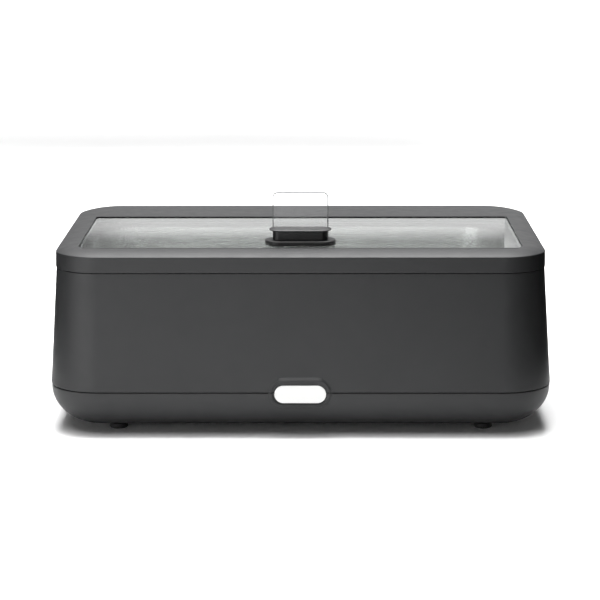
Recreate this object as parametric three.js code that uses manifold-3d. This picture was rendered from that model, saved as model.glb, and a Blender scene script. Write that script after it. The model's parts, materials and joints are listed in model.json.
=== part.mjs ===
// Electric chafing dish: a drafted two-part casing on four feet, a hinged lid with a glass window, a
// water pan with a standard food pan in it, a heater under the water pan and the controls at the back.
// Millimetres, +Z up. +X is the right-hand side seen from the front, and the front faces -Y.
// The origin is on the floor, under the middle of the casing.
import * as THREE from 'three';
import { mergeVertices } from 'three/addons/utils/BufferGeometryUtils.js';
import Module from 'manifold-3d';

const wasm = await Module();
wasm.setup();

// Fits
const GAP = 0.3; // space left where two fixed pieces touch
const SEAM = 0.6; // open joint line between the casing's shells
const RUNNING = 0.25; // radial space round a turning shaft or pin

// Casing
const BASE_WIDTH = 587;
const BASE_DEPTH = 382;
const BASE_CORNER = 61;
const DRAFT = 9.2; // how far each side of the body leans in from the base seam to the lid seam
const WALL = 3.2;
const BASE_HEIGHT = 48.5;
const BASE_ROUND_IN = 56; // how far the rounded lower edge runs in under the casing
const BASE_STEP = 0.6; // the base stands this far inside the body at the seam
const BODY_HEIGHT = 138.5;
const MIN_CORNER = 4; // no corner in plan gets tighter than this
const STADIUM_FLAT = 0.1; // half the straight left between a stadium's two end arcs

// Feet
const FOOT_HEIGHT = 6;
const FOOT_RADIUS = 10.5;
const FOOT_FROM_SIDE = 78.5;
const FOOT_FROM_FRONT = 55;
const FOOT_RECESS = 4; // the screw head sits this deep in the foot
const POST_RADIUS = 7;
const SCREW_RADIUS = 1.9;
const SCREW_HEAD = 3.6;
const SCREW_HEAD_HEIGHT = 2.2;
const SCREW_LENGTH = 26;

// Lid
const LID_OVERHANG = 0.7; // the lid stands this far outside the body's top edge
const SKIRT_HEIGHT = 18.5;
const CROWN_RISE = 5; // the rim swells up by this much from its outer edge to the window
const SIDE_RIM = 27;
const FRONT_RIM = 37.5;
const REAR_RIM = 104;
const WINDOW_CORNER = 6;
const PANE_DEPTH = 1.8; // the glass lies this far below the rim's top
const PANE_THICKNESS = 4;
const PANE_LAP = 8; // how far the glass runs in under the rim
const PANE_SEAL = 3;
const RETAINER_THICKNESS = 3.2;
const RETAINER_WIDTH = 15;
const GROOVE_FROM_WINDOW = 6.5;
const GROOVE_WIDTH = 1.2;
const GROOVE_DEPTH = 0.6;
const SEAL_WIDTH = 3;
const SEAL_DROP = 2.5; // how far the lid's seal hangs below the lid seam

// Handle and label plate
const HANDLE_FROM_FRONT = 65.5;
const FLANGE_WIDTH = 83;
const FLANGE_DEPTH = 36;
const FLANGE_HEIGHT = 6.5;
const NECK_WIDTH = 64;
const NECK_DEPTH = 28;
const NECK_HEIGHT = 10;
const CAP_WIDTH = 72.5;
const CAP_OVERHANG = 6.5; // how far the cap stands out in front of the neck
const CAP_HEIGHT = 2.6;
const CAP_CORNER = 9;
const LABEL_WIDTH = 65.6;
const LABEL_HEIGHT = 58;
const LABEL_THICKNESS = 2;
const LABEL_CORNER = 6;
const SLOT_WALL = 1.5;
const HANDLE_SCREW_SPACING = 44;
const HANDLE_BACKING = [34, 11, 10]; // half sizes and corner of the plate under the glass
const BACKING_THICKNESS = 2;

// Pans
const LEDGE_WIDTH = 15.5; // inner ledge of the body that carries the water pan
const LEDGE_THICKNESS = 4;
const LEDGE_DROP = 8.6; // from the lid seam down to the ledge
const PAN_SEAL_THICKNESS = 1.4;
const PAN_SEAL_FROM_BODY = 9;
const PAN_SEAL_WIDTH = 7;
const PAN_SHEET = 1;
const WATER_FLANGE_FROM_BODY = 7.6;
const WATER_UPSTAND = 4;
const WATER_WALL_FROM_BODY = 22.5;
const FOOD_FLANGE_FROM_BODY = 19.3;
const FOOD_FLANGE_CORNER = 28;
const FOOD_WALL_FROM_BODY = 30.3;
const PAN_CORNER = 57;
const PAN_TAPER = 8;
const PAN_ROUND = 12;
const WATER_GAP = 25; // between the two pans' floors
const ELECTRICS_HEIGHT = 43; // from the base seam up to the water pan's floor

// Heater
const HEATER_FROM_PAN_X = 60;
const HEATER_FROM_PAN_Y = 50;
const HEATER_THICKNESS = 3;
const HEATER_CORNER = 20;
const ELEMENT_RADIUS = 3.6;
const ELEMENT_SPREAD = 92; // across the element's two legs
const ELEMENT_BEND = 30;
const CLAMP_THICKNESS = 2;
const CLAMP_WIDTH = 22;
const CLAMP_REACH = 14; // how far the clamp runs out past each leg
const CUTOUT_RADIUS = 8;
const CUTOUT_HEIGHT = 9;
const SHIELD_DROP = 20; // from the heater plate down to the shield
const SHIELD_LIP = 6;
const SHIELD_SHEET = 1;
const BULB_RADIUS = 3;
const BULB_LENGTH = 84;
const CAPILLARY_RADIUS = 1.1;

// Badge
const BADGE_BOSS_WIDTH = 74.6;
const BADGE_BOSS_HEIGHT = 36.5;
const BADGE_PROUD = 1.6;
const BADGE_PLATE_WIDTH = 59.5;
const BADGE_PLATE_HEIGHT = 20.5;
const BADGE_PLATE_DROP = 1.4; // the plate's centre lies this far below the base seam
const BADGE_PLATE_THICKNESS = 1.4;
const BADGE_CHAMFER = 1.2;
const BADGE_BOSS_DEPTH = 14; // from the boss's face back into the casing's wall

// Controls
const PANEL_WIDTH = 200;
const PANEL_HEIGHT = 44.6;
const PANEL_RISE = 28.5; // from the base seam up to the controls' centre line
const PANEL_DEPTH = 15;
const PANEL_SHEET = 2.4;
const PANEL_FLANGE = 4;
const PANEL_CORNER = 5;
const KNOB_X = -62;
const KNOB_RADIUS = 16;
const KNOB_HEIGHT = 10;
const KNOB_LIFT = 1.2;
const KNOB_SKIRT = 3; // thickness of the knob's wide lower disc
const KNOB_GRIP_INSET = 2.5;
const SHAFT_RADIUS = 3;
const SHAFT_LENGTH = 16;
const SHAFT_END_ROOM = 1;
const THERMOSTAT_SIZE = [36, 26, 24];
const SWITCH_X = 4;
const SWITCH_WIDTH = 31;
const SWITCH_HEIGHT = 22;
const SWITCH_DEPTH = 24;
const ROCKER_LENGTH = 25;
const ROCKER_WIDTH = 15;
const ROCKER_DEPTH = 2.5; // below the pivot
const ROCKER_RISE = 3.2; // above the pivot at both ends
const ROCKER_DIP = 1.6;
const COLLAR_WIDTH = 2; // rim of the switch outside its body
const ROCKER_TRAVEL = 16; // degrees from off to on
const PILOT_X = -26;
const PILOT_RADIUS = 4;
const PILOT_FLANGE = 1.5;
const PILOT_LENGTH = 12;
const INLET_X = 62;
const INLET_WIDTH = 28;
const INLET_HEIGHT = 20.5;
const INLET_DEPTH = 24;
const INLET_WALL = 1.8;
const INLET_PIN_LENGTH = 12;
const INLET_TAB = 6; // the pins' tails behind the inlet
const INLET_COLLAR = [3, 2.5];
const INLET_CHAMFER = 4.5; // lower corners of the inlet's mouth
const INLET_FLOOR = 4;
const PIN_HALF = [1, 2];
const PIN_SPACING = 7;

// Wiring
const TERMINAL_SPACING = 12;
const TERMINAL_BLOCK = [40, 18, 14];
const WIRE_RADIUS = 1.3;

// Hinges
const HINGE_X = 170;
const HINGE_WIDTH = 46;
const HINGE_RADIUS = 4;
const HINGE_PIN_RADIUS = 1.75;
const KNUCKLE_LENGTH = 12;
const HINGE_PLATE = 2.2;
const HINGE_PLATE_LENGTH = 22;
const HINGE_SCREW_SPACING = 30;
const HINGE_SCREW_LENGTH = 7;
const BRACKET_SCREW_DROP = 14; // from the lid seam
const LEAF_SCREW_RISE = 11;
const SCREW_BORE = 20; // long enough to cut through any wall

// Mesh fineness
const CORNER_STEPS = 4; // half the segments of a quarter circle
const ROUND_STEPS = 6;
const SHAFT_SIDES = 20;
const SCREW_SIDES = 10;
const KNOB_SIDES = 36;

// Heights
const baseSeamZ = FOOT_HEIGHT + BASE_HEIGHT;
const lidSeamZ = baseSeamZ + BODY_HEIGHT;
const lidEdgeZ = lidSeamZ + SKIRT_HEIGHT;
const lidTopZ = lidEdgeZ + CROWN_RISE;
const paneTopZ = lidTopZ - PANE_DEPTH;
const paneBottomZ = paneTopZ - PANE_THICKNESS;
const ledgeZ = lidSeamZ - LEDGE_DROP;
const waterRimZ = ledgeZ + GAP + PAN_SEAL_THICKNESS + GAP;
const foodRimZ = waterRimZ + PAN_SHEET + GAP;
const waterFloorZ = baseSeamZ + ELECTRICS_HEIGHT;
const foodFloorZ = waterFloorZ + WATER_GAP;
const heaterZ = waterFloorZ - GAP - HEATER_THICKNESS;
const elementZ = heaterZ - GAP - ELEMENT_RADIUS;
const clampZ = elementZ - ELEMENT_RADIUS - GAP - CLAMP_THICKNESS;
const panelZ = baseSeamZ + PANEL_RISE;

// Plan sizes, all measured from the casing's centre
const bodyTopX = BASE_WIDTH / 2 - DRAFT;
const bodyTopY = BASE_DEPTH / 2 - DRAFT;
const bodyTopCorner = BASE_CORNER - DRAFT;
const lidX = bodyTopX + LID_OVERHANG;
const lidY = bodyTopY + LID_OVERHANG;
const lidCorner = bodyTopCorner + LID_OVERHANG;
const windowX = lidX - SIDE_RIM;
const windowFrontY = -lidY + FRONT_RIM;
const windowRearY = lidY - REAR_RIM;
const windowY = (windowFrontY + windowRearY) / 2;
const windowHalfY = (windowRearY - windowFrontY) / 2;
const handleY = -lidY + HANDLE_FROM_FRONT;
const boxHalfY = BASE_DEPTH / 2 + BADGE_PROUD; // badge at the front, hinge knuckles at the back
const hingeY = boxHalfY - HINGE_RADIUS;
const hingeZ = lidSeamZ;
const hingeScrewXs = (side) =>
  [-1, 1].map((end) => side * HINGE_X + (end * HINGE_SCREW_SPACING) / 2);
const bracketScrewZ = lidSeamZ - BRACKET_SCREW_DROP;
const leafScrewZ = lidSeamZ + LEAF_SCREW_RISE;

// How far the body's side stands out from its top edge at height z.
const flare = (z) => (DRAFT * (lidSeamZ - z)) / BODY_HEIGHT;
const rearFaceY = (z) => bodyTopY + flare(z);
const panelFaceY = rearFaceY(panelZ + PANEL_HEIGHT / 2) - GAP;
const panelFloorY = panelFaceY - PANEL_DEPTH; // visible floor of the control recess
const panelBackY = panelFloorY - PANEL_SHEET;

const finish = (color, roughness, metalness = 0, extra = {}) =>
  new THREE.MeshStandardMaterial({ color, roughness, metalness, ...extra });
const charcoal = finish(0x3a3b3d, 0.55);
const blackSatin = finish(0x18191a, 0.4);
const rubber = finish(0x151515, 0.85);
const silicone = finish(0x8d8f90, 0.7);
const stainless = finish(0xc9cbcc, 0.28, 1);
const steel = finish(0x9fa1a3, 0.35, 1);
const aluminium = finish(0xb8babc, 0.45, 1);
const clear = finish(0xdfe9e8, 0.05, 0, { transparent: true, opacity: 0.3 });
const white = finish(0xf2f2f0, 0.35);
const phenolic = finish(0x4a3b30, 0.6);
const brass = finish(0xb59a55, 0.35, 1);
const amber = finish(0xd9821f, 0.25, 0, { transparent: true, opacity: 0.8 });
const copperRed = finish(0x9a2f25, 0.5);
const wireBlue = finish(0x2f5b9a, 0.5);
const wireGreen = finish(0x4f8d3a, 0.5);

const dish = new THREE.Group();
const lid = new THREE.Group();
dish.add(lid);

// Turns a closed three.js geometry into a solid that can be joined and cut.
function solid(geometry) {
  const bare = new THREE.BufferGeometry();
  bare.setAttribute('position', geometry.getAttribute('position'));
  bare.setIndex(geometry.getIndex());
  const merged = mergeVertices(bare);
  const corners = merged.getIndex().array;
  const kept = [];
  for (let i = 0; i < corners.length; i += 3) {
    const [a, b, c] = corners.subarray(i, i + 3);
    if (a !== b && b !== c && c !== a) kept.push(a, b, c);
  }
  const vertProperties = new Float32Array(merged.getAttribute('position').array);
  const triVerts = new Uint32Array(kept);
  return new wasm.Manifold(new wasm.Mesh({ numProp: 3, vertProperties, triVerts }));
}

// Adds a solid to a group as a named piece.
function piece(group, name, body, material) {
  const mesh = body.getMesh();
  const geometry = new THREE.BufferGeometry();
  geometry.setAttribute('position', new THREE.BufferAttribute(mesh.vertProperties, 3));
  geometry.setIndex(new THREE.BufferAttribute(mesh.triVerts, 1));
  geometry.computeVertexNormals();
  const part = new THREE.Mesh(geometry, material);
  part.name = name;
  group.add(part);
}

// A rounded rectangle round (cx, cy).
function outline(halfX, halfY, corner, cx = 0, cy = 0) {
  const x = halfX - corner;
  const y = halfY - corner;
  const quarter = Math.PI / 2;
  const shape = new THREE.Shape();
  shape.absarc(cx + x, cy + y, corner, 0, quarter, false);
  shape.absarc(cx - x, cy + y, corner, quarter, 2 * quarter, false);
  shape.absarc(cx - x, cy - y, corner, 2 * quarter, 3 * quarter, false);
  shape.absarc(cx + x, cy - y, corner, 3 * quarter, 4 * quarter, false);
  return shape;
}

// A flat-sided solid of an outline between two heights.
function prism(shape, bottom, top, curveSegments = CORNER_STEPS) {
  const options = { depth: top - bottom, bevelEnabled: false, curveSegments };
  return solid(new THREE.ExtrudeGeometry(shape, options).translate(0, 0, bottom));
}

// A frame: one outline with another cut out of it.
function ring(outer, inner, bottom, top) {
  return prism(outer, bottom, top).subtract(prism(inner, bottom - 1, top + 1));
}

function block(x0, x1, y0, y1, z0, z1) {
  const geometry = new THREE.BoxGeometry(x1 - x0, y1 - y0, z1 - z0);
  return solid(geometry.translate((x0 + x1) / 2, (y0 + y1) / 2, (z0 + z1) / 2));
}

// A round bar from a centre point along an axis: 'x', 'y' or 'z'.
function bar(radius, length, axis, x, y, z, sides = SHAFT_SIDES) {
  const geometry = new THREE.CylinderGeometry(radius, radius, length, sides);
  geometry.translate(0, length / 2, 0);
  if (axis === 'x') geometry.rotateZ(-Math.PI / 2);
  if (axis === 'z') geometry.rotateX(Math.PI / 2);
  return solid(geometry.translate(x, y, z));
}

// A clearance hole for a screw, from a point along +axis.
const screwHole = (axis, x, y, z, length = SCREW_BORE) =>
  bar(SCREW_RADIUS + GAP, length, axis, x, y, z, SCREW_SIDES);

// A solid through a stack of rounded rectangles with equal numbers of points.
function loft(levels) {
  const rings = levels.map(({ z, halfX, halfY, corner }) => {
    const points = outline(halfX, halfY, corner).getPoints(CORNER_STEPS);
    if (points[0].distanceTo(points.at(-1)) < 1e-6) points.pop();
    return points.map((p) => new THREE.Vector3(p.x, p.y, z));
  });
  const count = rings[0].length;
  const index = [];
  for (let level = 0; level < rings.length - 1; level += 1) {
    for (let i = 0; i < count; i += 1) {
      const a = level * count + i;
      const b = level * count + ((i + 1) % count);
      index.push(a, b, b + count, a, b + count, a + count);
    }
  }
  const lastRing = (rings.length - 1) * count;
  for (const [a, b, c] of THREE.ShapeUtils.triangulateShape(rings[0], [])) {
    index.push(c, b, a, lastRing + a, lastRing + b, lastRing + c);
  }
  const geometry = new THREE.BufferGeometry().setFromPoints(rings.flat());
  geometry.setIndex(index);
  return solid(geometry);
}

// A bowl shape: a flat floor, an elliptical rounded edge, then sides that lean out to the top.
function bowl({ halfX, halfY, corner, floor, top, taper, roundIn, roundUp, steps }) {
  const at = (inset, z) => ({
    z,
    halfX: halfX - inset,
    halfY: halfY - inset,
    corner: Math.max(corner - inset, MIN_CORNER),
  });
  const levels = [];
  for (let i = 0; i <= steps; i += 1) {
    const turn = (i / steps) * (Math.PI / 2);
    levels.push(at(taper + roundIn * (1 - Math.sin(turn)), floor + roundUp * (1 - Math.cos(turn))));
  }
  levels.push(at(0, top));
  return loft(levels);
}

// A tube of constant section along a smooth line through a few points.
function tube(radius, points, sides, steps) {
  const section = new THREE.Shape().absarc(0, 0, radius, 0, 2 * Math.PI, false);
  const extrudePath = new THREE.CatmullRomCurve3(points.map((p) => new THREE.Vector3(...p)));
  const options = { steps, extrudePath, curveSegments: sides / 2, bevelEnabled: false };
  return solid(new THREE.ExtrudeGeometry(section, options));
}

// A pan-head screw whose head's underside is at the given point and whose shank runs along +axis.
function screw(axis, x, y, z, length) {
  const head = bar(SCREW_HEAD, SCREW_HEAD_HEIGHT, axis, 0, 0, 0, SCREW_SIDES);
  const shank = bar(SCREW_RADIUS, length + SCREW_HEAD_HEIGHT, axis, 0, 0, 0, SCREW_SIDES);
  const [dx, dy, dz] = ['x', 'y', 'z'].map((name) => (name === axis ? -SCREW_HEAD_HEIGHT : 0));
  return head.add(shank).translate([x + dx, y + dy, z + dz]);
}

// The raised boss round the badge plate, half on the tray and half on the body.
function badgeBoss() {
  const shape = outline(
    BADGE_BOSS_WIDTH / 2,
    BADGE_BOSS_HEIGHT / 2,
    BADGE_BOSS_HEIGHT / 2 - STADIUM_FLAT,
  );
  const geometry = new THREE.ExtrudeGeometry(shape, {
    depth: BADGE_BOSS_DEPTH - BADGE_CHAMFER,
    curveSegments: CORNER_STEPS,
    bevelSegments: 1,
    bevelThickness: BADGE_CHAMFER,
    bevelSize: BADGE_CHAMFER,
    bevelOffset: -BADGE_CHAMFER,
  });
  return solid(geometry.rotateX(Math.PI / 2).translate(0, -boxHalfY + BADGE_BOSS_DEPTH, baseSeamZ));
}

// A stadium-shaped solid standing on the front, between two distances from the casing's centre.
function frontStadium(width, height, front, back, z) {
  const shape = outline(width / 2, height / 2, height / 2 - STADIUM_FLAT);
  const options = { depth: back - front, bevelEnabled: false, curveSegments: CORNER_STEPS };
  return solid(new THREE.ExtrudeGeometry(shape, options).rotateX(Math.PI / 2).translate(0, back, z));
}

const badgePlateZ = baseSeamZ - BADGE_PLATE_DROP;
function badgeSeat() {
  const back = -boxHalfY + BADGE_PLATE_THICKNESS + GAP;
  const width = BADGE_PLATE_WIDTH + 2 * GAP;
  return frontStadium(width, BADGE_PLATE_HEIGHT + 2 * GAP, -boxHalfY - 5, back, badgePlateZ);
}

// The four feet stand at these corners.
const footX = BASE_WIDTH / 2 - FOOT_FROM_SIDE;
const footY = BASE_DEPTH / 2 - FOOT_FROM_FRONT;
const footCorners = [
  ['front_left', -footX, -footY],
  ['front_right', footX, -footY],
  ['rear_left', -footX, footY],
  ['rear_right', footX, footY],
];

function baseTray() {
  const shell = {
    halfX: BASE_WIDTH / 2 - BASE_STEP,
    halfY: BASE_DEPTH / 2 - BASE_STEP,
    corner: BASE_CORNER - BASE_STEP,
    floor: FOOT_HEIGHT,
    top: baseSeamZ - SEAM / 2,
    taper: 0,
    roundIn: BASE_ROUND_IN,
    roundUp: BASE_HEIGHT * 0.94,
    steps: ROUND_STEPS,
  };
  const hollow = {
    ...shell,
    halfX: shell.halfX - WALL,
    halfY: shell.halfY - WALL,
    corner: shell.corner - WALL,
    floor: FOOT_HEIGHT + WALL,
    top: baseSeamZ + 1,
    roundUp: BASE_HEIGHT * 0.94 - WALL,
    steps: ROUND_STEPS / 2,
  };
  const belowSeam = block(-BASE_WIDTH, BASE_WIDTH, -BASE_DEPTH, 0, 0, baseSeamZ - SEAM / 2);
  let tray = bowl(shell)
    .subtract(bowl(hollow))
    .add(badgeBoss().intersect(belowSeam))
    .subtract(badgeSeat());
  for (const [, x, y] of footCorners) {
    tray = tray
      .add(bar(FOOT_RADIUS + 1, WALL, 'z', x, y, FOOT_HEIGHT))
      .add(bar(POST_RADIUS, BASE_HEIGHT - WALL - SEAM, 'z', x, y, FOOT_HEIGHT + WALL))
      .subtract(screwHole('z', x, y, FOOT_HEIGHT - 1, BASE_HEIGHT + 2));
  }
  return tray;
}

function bodyShell() {
  const level = (z, inset) => ({
    z,
    halfX: bodyTopX + flare(z) - inset,
    halfY: bodyTopY + flare(z) - inset,
    corner: bodyTopCorner + flare(z) - inset,
  });
  const bottom = baseSeamZ + SEAM / 2;
  const top = lidSeamZ - SEAM / 2;
  const outer = loft([level(bottom, 0), level(top, 0)]);
  const inner = loft([level(bottom - 1, WALL), level(top + 1, WALL)]);
  const ledge = ring(
    outline(bodyTopX - WALL / 2, bodyTopY - WALL / 2, bodyTopCorner - WALL / 2),
    outline(
      bodyTopX - WALL - LEDGE_WIDTH,
      bodyTopY - WALL - LEDGE_WIDTH,
      Math.max(bodyTopCorner - WALL - LEDGE_WIDTH, MIN_CORNER),
    ),
    ledgeZ - LEDGE_THICKNESS,
    ledgeZ,
  );
  const aboveSeam = block(-BASE_WIDTH, BASE_WIDTH, -BASE_DEPTH, 0, bottom, lidSeamZ);
  const opening = block(
    -PANEL_WIDTH / 2 - GAP,
    PANEL_WIDTH / 2 + GAP,
    bodyTopY - 20,
    BASE_DEPTH,
    panelZ - PANEL_HEIGHT / 2 - GAP,
    panelZ + PANEL_HEIGHT / 2 + GAP,
  );
  let shell = outer.subtract(inner).add(ledge).add(badgeBoss().intersect(aboveSeam));
  shell = shell.subtract(badgeSeat()).subtract(opening);
  for (const side of [-1, 1]) {
    for (const x of hingeScrewXs(side)) {
      shell = shell.subtract(screwHole('y', x, bodyTopY - SCREW_BORE / 2, bracketScrewZ));
    }
  }
  return shell;
}

piece(dish, 'base_tray', baseTray(), charcoal);
piece(dish, 'body_shell', bodyShell(), charcoal);
piece(
  dish,
  'badge_plate',
  frontStadium(BADGE_PLATE_WIDTH, BADGE_PLATE_HEIGHT, -boxHalfY, -boxHalfY + BADGE_PLATE_THICKNESS, badgePlateZ),
  white,
);

// Feet, each with the screw that holds foot, tray and post together.
for (const [corner, x, y] of footCorners) {
  const profile = [
    [0, FOOT_RECESS],
    [SCREW_HEAD + 1, FOOT_RECESS],
    [SCREW_HEAD + 1.4, 0],
    [FOOT_RADIUS - 0.8, 0],
    [FOOT_RADIUS, 0.8],
    [FOOT_RADIUS - 0.5, FOOT_HEIGHT - GAP],
    [0, FOOT_HEIGHT - GAP],
  ].map(([r, z]) => new THREE.Vector2(r, z));
  const disc = solid(new THREE.LatheGeometry(profile, SHAFT_SIDES).rotateX(Math.PI / 2));
  const hole = screwHole('z', 0, 0, -1, FOOT_HEIGHT + 2);
  piece(dish, `foot_${corner}`, disc.subtract(hole).translate([x, y, 0]), rubber);
  piece(dish, `foot_screw_${corner}`, screw('z', x, y, FOOT_RECESS - GAP, SCREW_LENGTH), steel);
}

// A sheet-metal pan with a flat flange round its rim.
function pan(rimZ, floorZ, wallFromBody, flangeFromBody, flangeCorner) {
  const shape = (sheet, top) =>
    bowl({
      halfX: bodyTopX - wallFromBody - sheet,
      halfY: bodyTopY - wallFromBody - sheet,
      corner: PAN_CORNER - sheet,
      floor: floorZ + sheet,
      top,
      taper: PAN_TAPER,
      roundIn: PAN_ROUND,
      roundUp: PAN_ROUND,
      steps: 3,
    });
  const flangeShape = outline(bodyTopX - flangeFromBody, bodyTopY - flangeFromBody, flangeCorner);
  const flange = prism(flangeShape, rimZ, rimZ + PAN_SHEET);
  return shape(0, rimZ + PAN_SHEET / 2).add(flange).subtract(shape(PAN_SHEET, rimZ + PAN_SHEET));
}

function waterPan() {
  const edgeX = bodyTopX - WATER_FLANGE_FROM_BODY;
  const edgeY = bodyTopY - WATER_FLANGE_FROM_BODY;
  const corner = bodyTopCorner - WATER_FLANGE_FROM_BODY;
  const upstand = ring(
    outline(edgeX, edgeY, corner),
    outline(edgeX - PAN_SHEET, edgeY - PAN_SHEET, corner - PAN_SHEET),
    waterRimZ,
    waterRimZ + WATER_UPSTAND,
  );
  const tub = pan(waterRimZ, waterFloorZ, WATER_WALL_FROM_BODY, WATER_FLANGE_FROM_BODY, corner);
  return tub.add(upstand);
}

piece(dish, 'water_pan', waterPan(), stainless);
piece(
  dish,
  'food_pan',
  pan(foodRimZ, foodFloorZ, FOOD_WALL_FROM_BODY, FOOD_FLANGE_FROM_BODY, FOOD_FLANGE_CORNER),
  stainless,
);
const bodyOutline = (inset) => outline(bodyTopX - inset, bodyTopY - inset, bodyTopCorner - inset);
const panSealZ = ledgeZ + GAP;
piece(
  dish,
  'water_pan_seal',
  ring(
    bodyOutline(PAN_SEAL_FROM_BODY),
    bodyOutline(PAN_SEAL_FROM_BODY + PAN_SEAL_WIDTH),
    panSealZ,
    panSealZ + PAN_SEAL_THICKNESS,
  ),
  silicone,
);

// Heater, under the water pan's floor
const heaterX = bodyTopX - WATER_WALL_FROM_BODY - HEATER_FROM_PAN_X;
const heaterY = bodyTopY - WATER_WALL_FROM_BODY - HEATER_FROM_PAN_Y;
const elementEndX = heaterX - ELEMENT_BEND;
const legY = ELEMENT_SPREAD / 2;
piece(
  dish,
  'heater_plate',
  prism(outline(heaterX, heaterY, HEATER_CORNER), heaterZ, heaterZ + HEATER_THICKNESS),
  aluminium,
);
piece(
  dish,
  'heating_element',
  tube(
    ELEMENT_RADIUS,
    [
      [elementEndX, -legY, elementZ],
      [0, -legY, elementZ],
      [-elementEndX + ELEMENT_BEND, -legY, elementZ],
      [-elementEndX, 0, elementZ],
      [-elementEndX + ELEMENT_BEND, legY, elementZ],
      [0, legY, elementZ],
      [elementEndX, legY, elementZ],
    ],
    8,
    30,
  ),
  steel,
);
const clampX = heaterX / 2;
piece(
  dish,
  'element_clamp',
  block(
    clampX,
    clampX + CLAMP_WIDTH,
    -legY - CLAMP_REACH,
    legY + CLAMP_REACH,
    clampZ,
    clampZ + CLAMP_THICKNESS,
  ),
  steel,
);
const cutoutTopZ = heaterZ - GAP;
piece(
  dish,
  'thermal_cutout',
  bar(CUTOUT_RADIUS, CUTOUT_HEIGHT, 'z', 0, 0, cutoutTopZ - CUTOUT_HEIGHT).add(
    block(-CUTOUT_RADIUS - 3, CUTOUT_RADIUS + 3, -3, 3, cutoutTopZ - 2, cutoutTopZ),
  ),
  phenolic,
);
const shieldZ = heaterZ - SHIELD_DROP;
const shieldOutline = (inset) =>
  outline(heaterX + 8 - inset, heaterY + 6 - inset, HEATER_CORNER + 2 - inset);
piece(
  dish,
  'heat_shield',
  prism(shieldOutline(0), shieldZ - SHIELD_SHEET, shieldZ + SHIELD_LIP).subtract(
    prism(shieldOutline(SHIELD_SHEET), shieldZ, shieldZ + SHIELD_LIP + 1),
  ),
  aluminium,
);

// Control panel: a tub set in the body's rear wall, with a flange behind the wall.
function controlPanel() {
  const halfW = PANEL_WIDTH / 2;
  const halfH = PANEL_HEIGHT / 2;
  const upright = (inset, front, back) => {
    const shape = outline(halfW - inset, halfH - inset, PANEL_CORNER);
    const options = { depth: back - front, bevelEnabled: false, curveSegments: 2 };
    const geometry = new THREE.ExtrudeGeometry(shape, options);
    return solid(geometry.rotateX(Math.PI / 2).translate(0, back, panelZ));
  };
  const flangeBackY = rearFaceY(panelZ + halfH + PANEL_FLANGE) - WALL - GAP;
  let panel = upright(0, panelBackY, panelFaceY)
    .add(upright(-PANEL_FLANGE, flangeBackY - PANEL_SHEET, flangeBackY))
    .subtract(upright(PANEL_SHEET, panelFloorY, panelFaceY + 1));
  const boreY = panelBackY - SCREW_BORE / 2;
  panel = panel.subtract(bar(SHAFT_RADIUS + RUNNING, SCREW_BORE, 'y', KNOB_X, boreY, panelZ));
  panel = panel.subtract(bar(PILOT_RADIUS + GAP, SCREW_BORE, 'y', PILOT_X, boreY, panelZ));
  const openings = [
    [SWITCH_X, SWITCH_WIDTH, SWITCH_HEIGHT],
    [INLET_X, INLET_WIDTH, INLET_HEIGHT],
  ];
  for (const [x, width, height] of openings) {
    const halfX = width / 2 + GAP;
    const halfZ = height / 2 + GAP;
    panel = panel.subtract(
      block(x - halfX, x + halfX, panelBackY - 1, panelFloorY + 1, panelZ - halfZ, panelZ + halfZ),
    );
  }
  return panel;
}
piece(dish, 'control_panel', controlPanel(), charcoal);

// Thermostat with its knob, bulb and capillary
const [thermostatW, thermostatH, thermostatD] = THERMOSTAT_SIZE;
const thermostatBackY = panelBackY - GAP;
const shaftStartY = thermostatBackY - SHAFT_LENGTH + 5;
piece(
  dish,
  'thermostat_housing',
  block(
    KNOB_X - thermostatW / 2,
    KNOB_X + thermostatW / 2,
    thermostatBackY - thermostatD,
    thermostatBackY,
    panelZ - thermostatH / 2,
    panelZ + thermostatH / 2,
  ).subtract(
    bar(SHAFT_RADIUS + RUNNING, SHAFT_LENGTH, 'y', KNOB_X, shaftStartY - SHAFT_END_ROOM, panelZ),
  ),
  phenolic,
);
const knobBaseY = panelFloorY + KNOB_LIFT;
piece(
  dish,
  'thermostat_shaft',
  bar(SHAFT_RADIUS, knobBaseY - GAP - shaftStartY, 'y', KNOB_X, shaftStartY, panelZ),
  steel,
);
piece(
  dish,
  'thermostat_knob',
  bar(KNOB_RADIUS, KNOB_SKIRT, 'y', KNOB_X, knobBaseY, panelZ, KNOB_SIDES)
    .add(bar(KNOB_RADIUS - KNOB_GRIP_INSET, KNOB_HEIGHT, 'y', KNOB_X, knobBaseY, panelZ, KNOB_SIDES))
    .add(
      block(
        KNOB_X - 1.5,
        KNOB_X + 1.5,
        knobBaseY,
        knobBaseY + KNOB_HEIGHT + 1,
        panelZ,
        panelZ + KNOB_RADIUS - 1,
      ),
    ),
  blackSatin,
);
const bulbY = heaterY - 22;
const bulbZ = heaterZ - GAP - BULB_RADIUS;
const capillaryStartY = thermostatBackY - thermostatD - 1;
piece(
  dish,
  'thermostat_bulb',
  bar(BULB_RADIUS, BULB_LENGTH, 'x', KNOB_X - BULB_LENGTH, bulbY, bulbZ, 12).add(
    tube(
      CAPILLARY_RADIUS,
      [
        [KNOB_X - 4, bulbY, bulbZ],
        [KNOB_X + 8, bulbY + 3, bulbZ],
        [KNOB_X + 10, bulbY + 14, bulbZ - 2],
        [KNOB_X, (bulbY + capillaryStartY) / 2, bulbZ - 3],
        [KNOB_X, capillaryStartY, panelZ + 2],
      ],
      6,
      14,
    ),
  ),
  brass,
);

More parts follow.
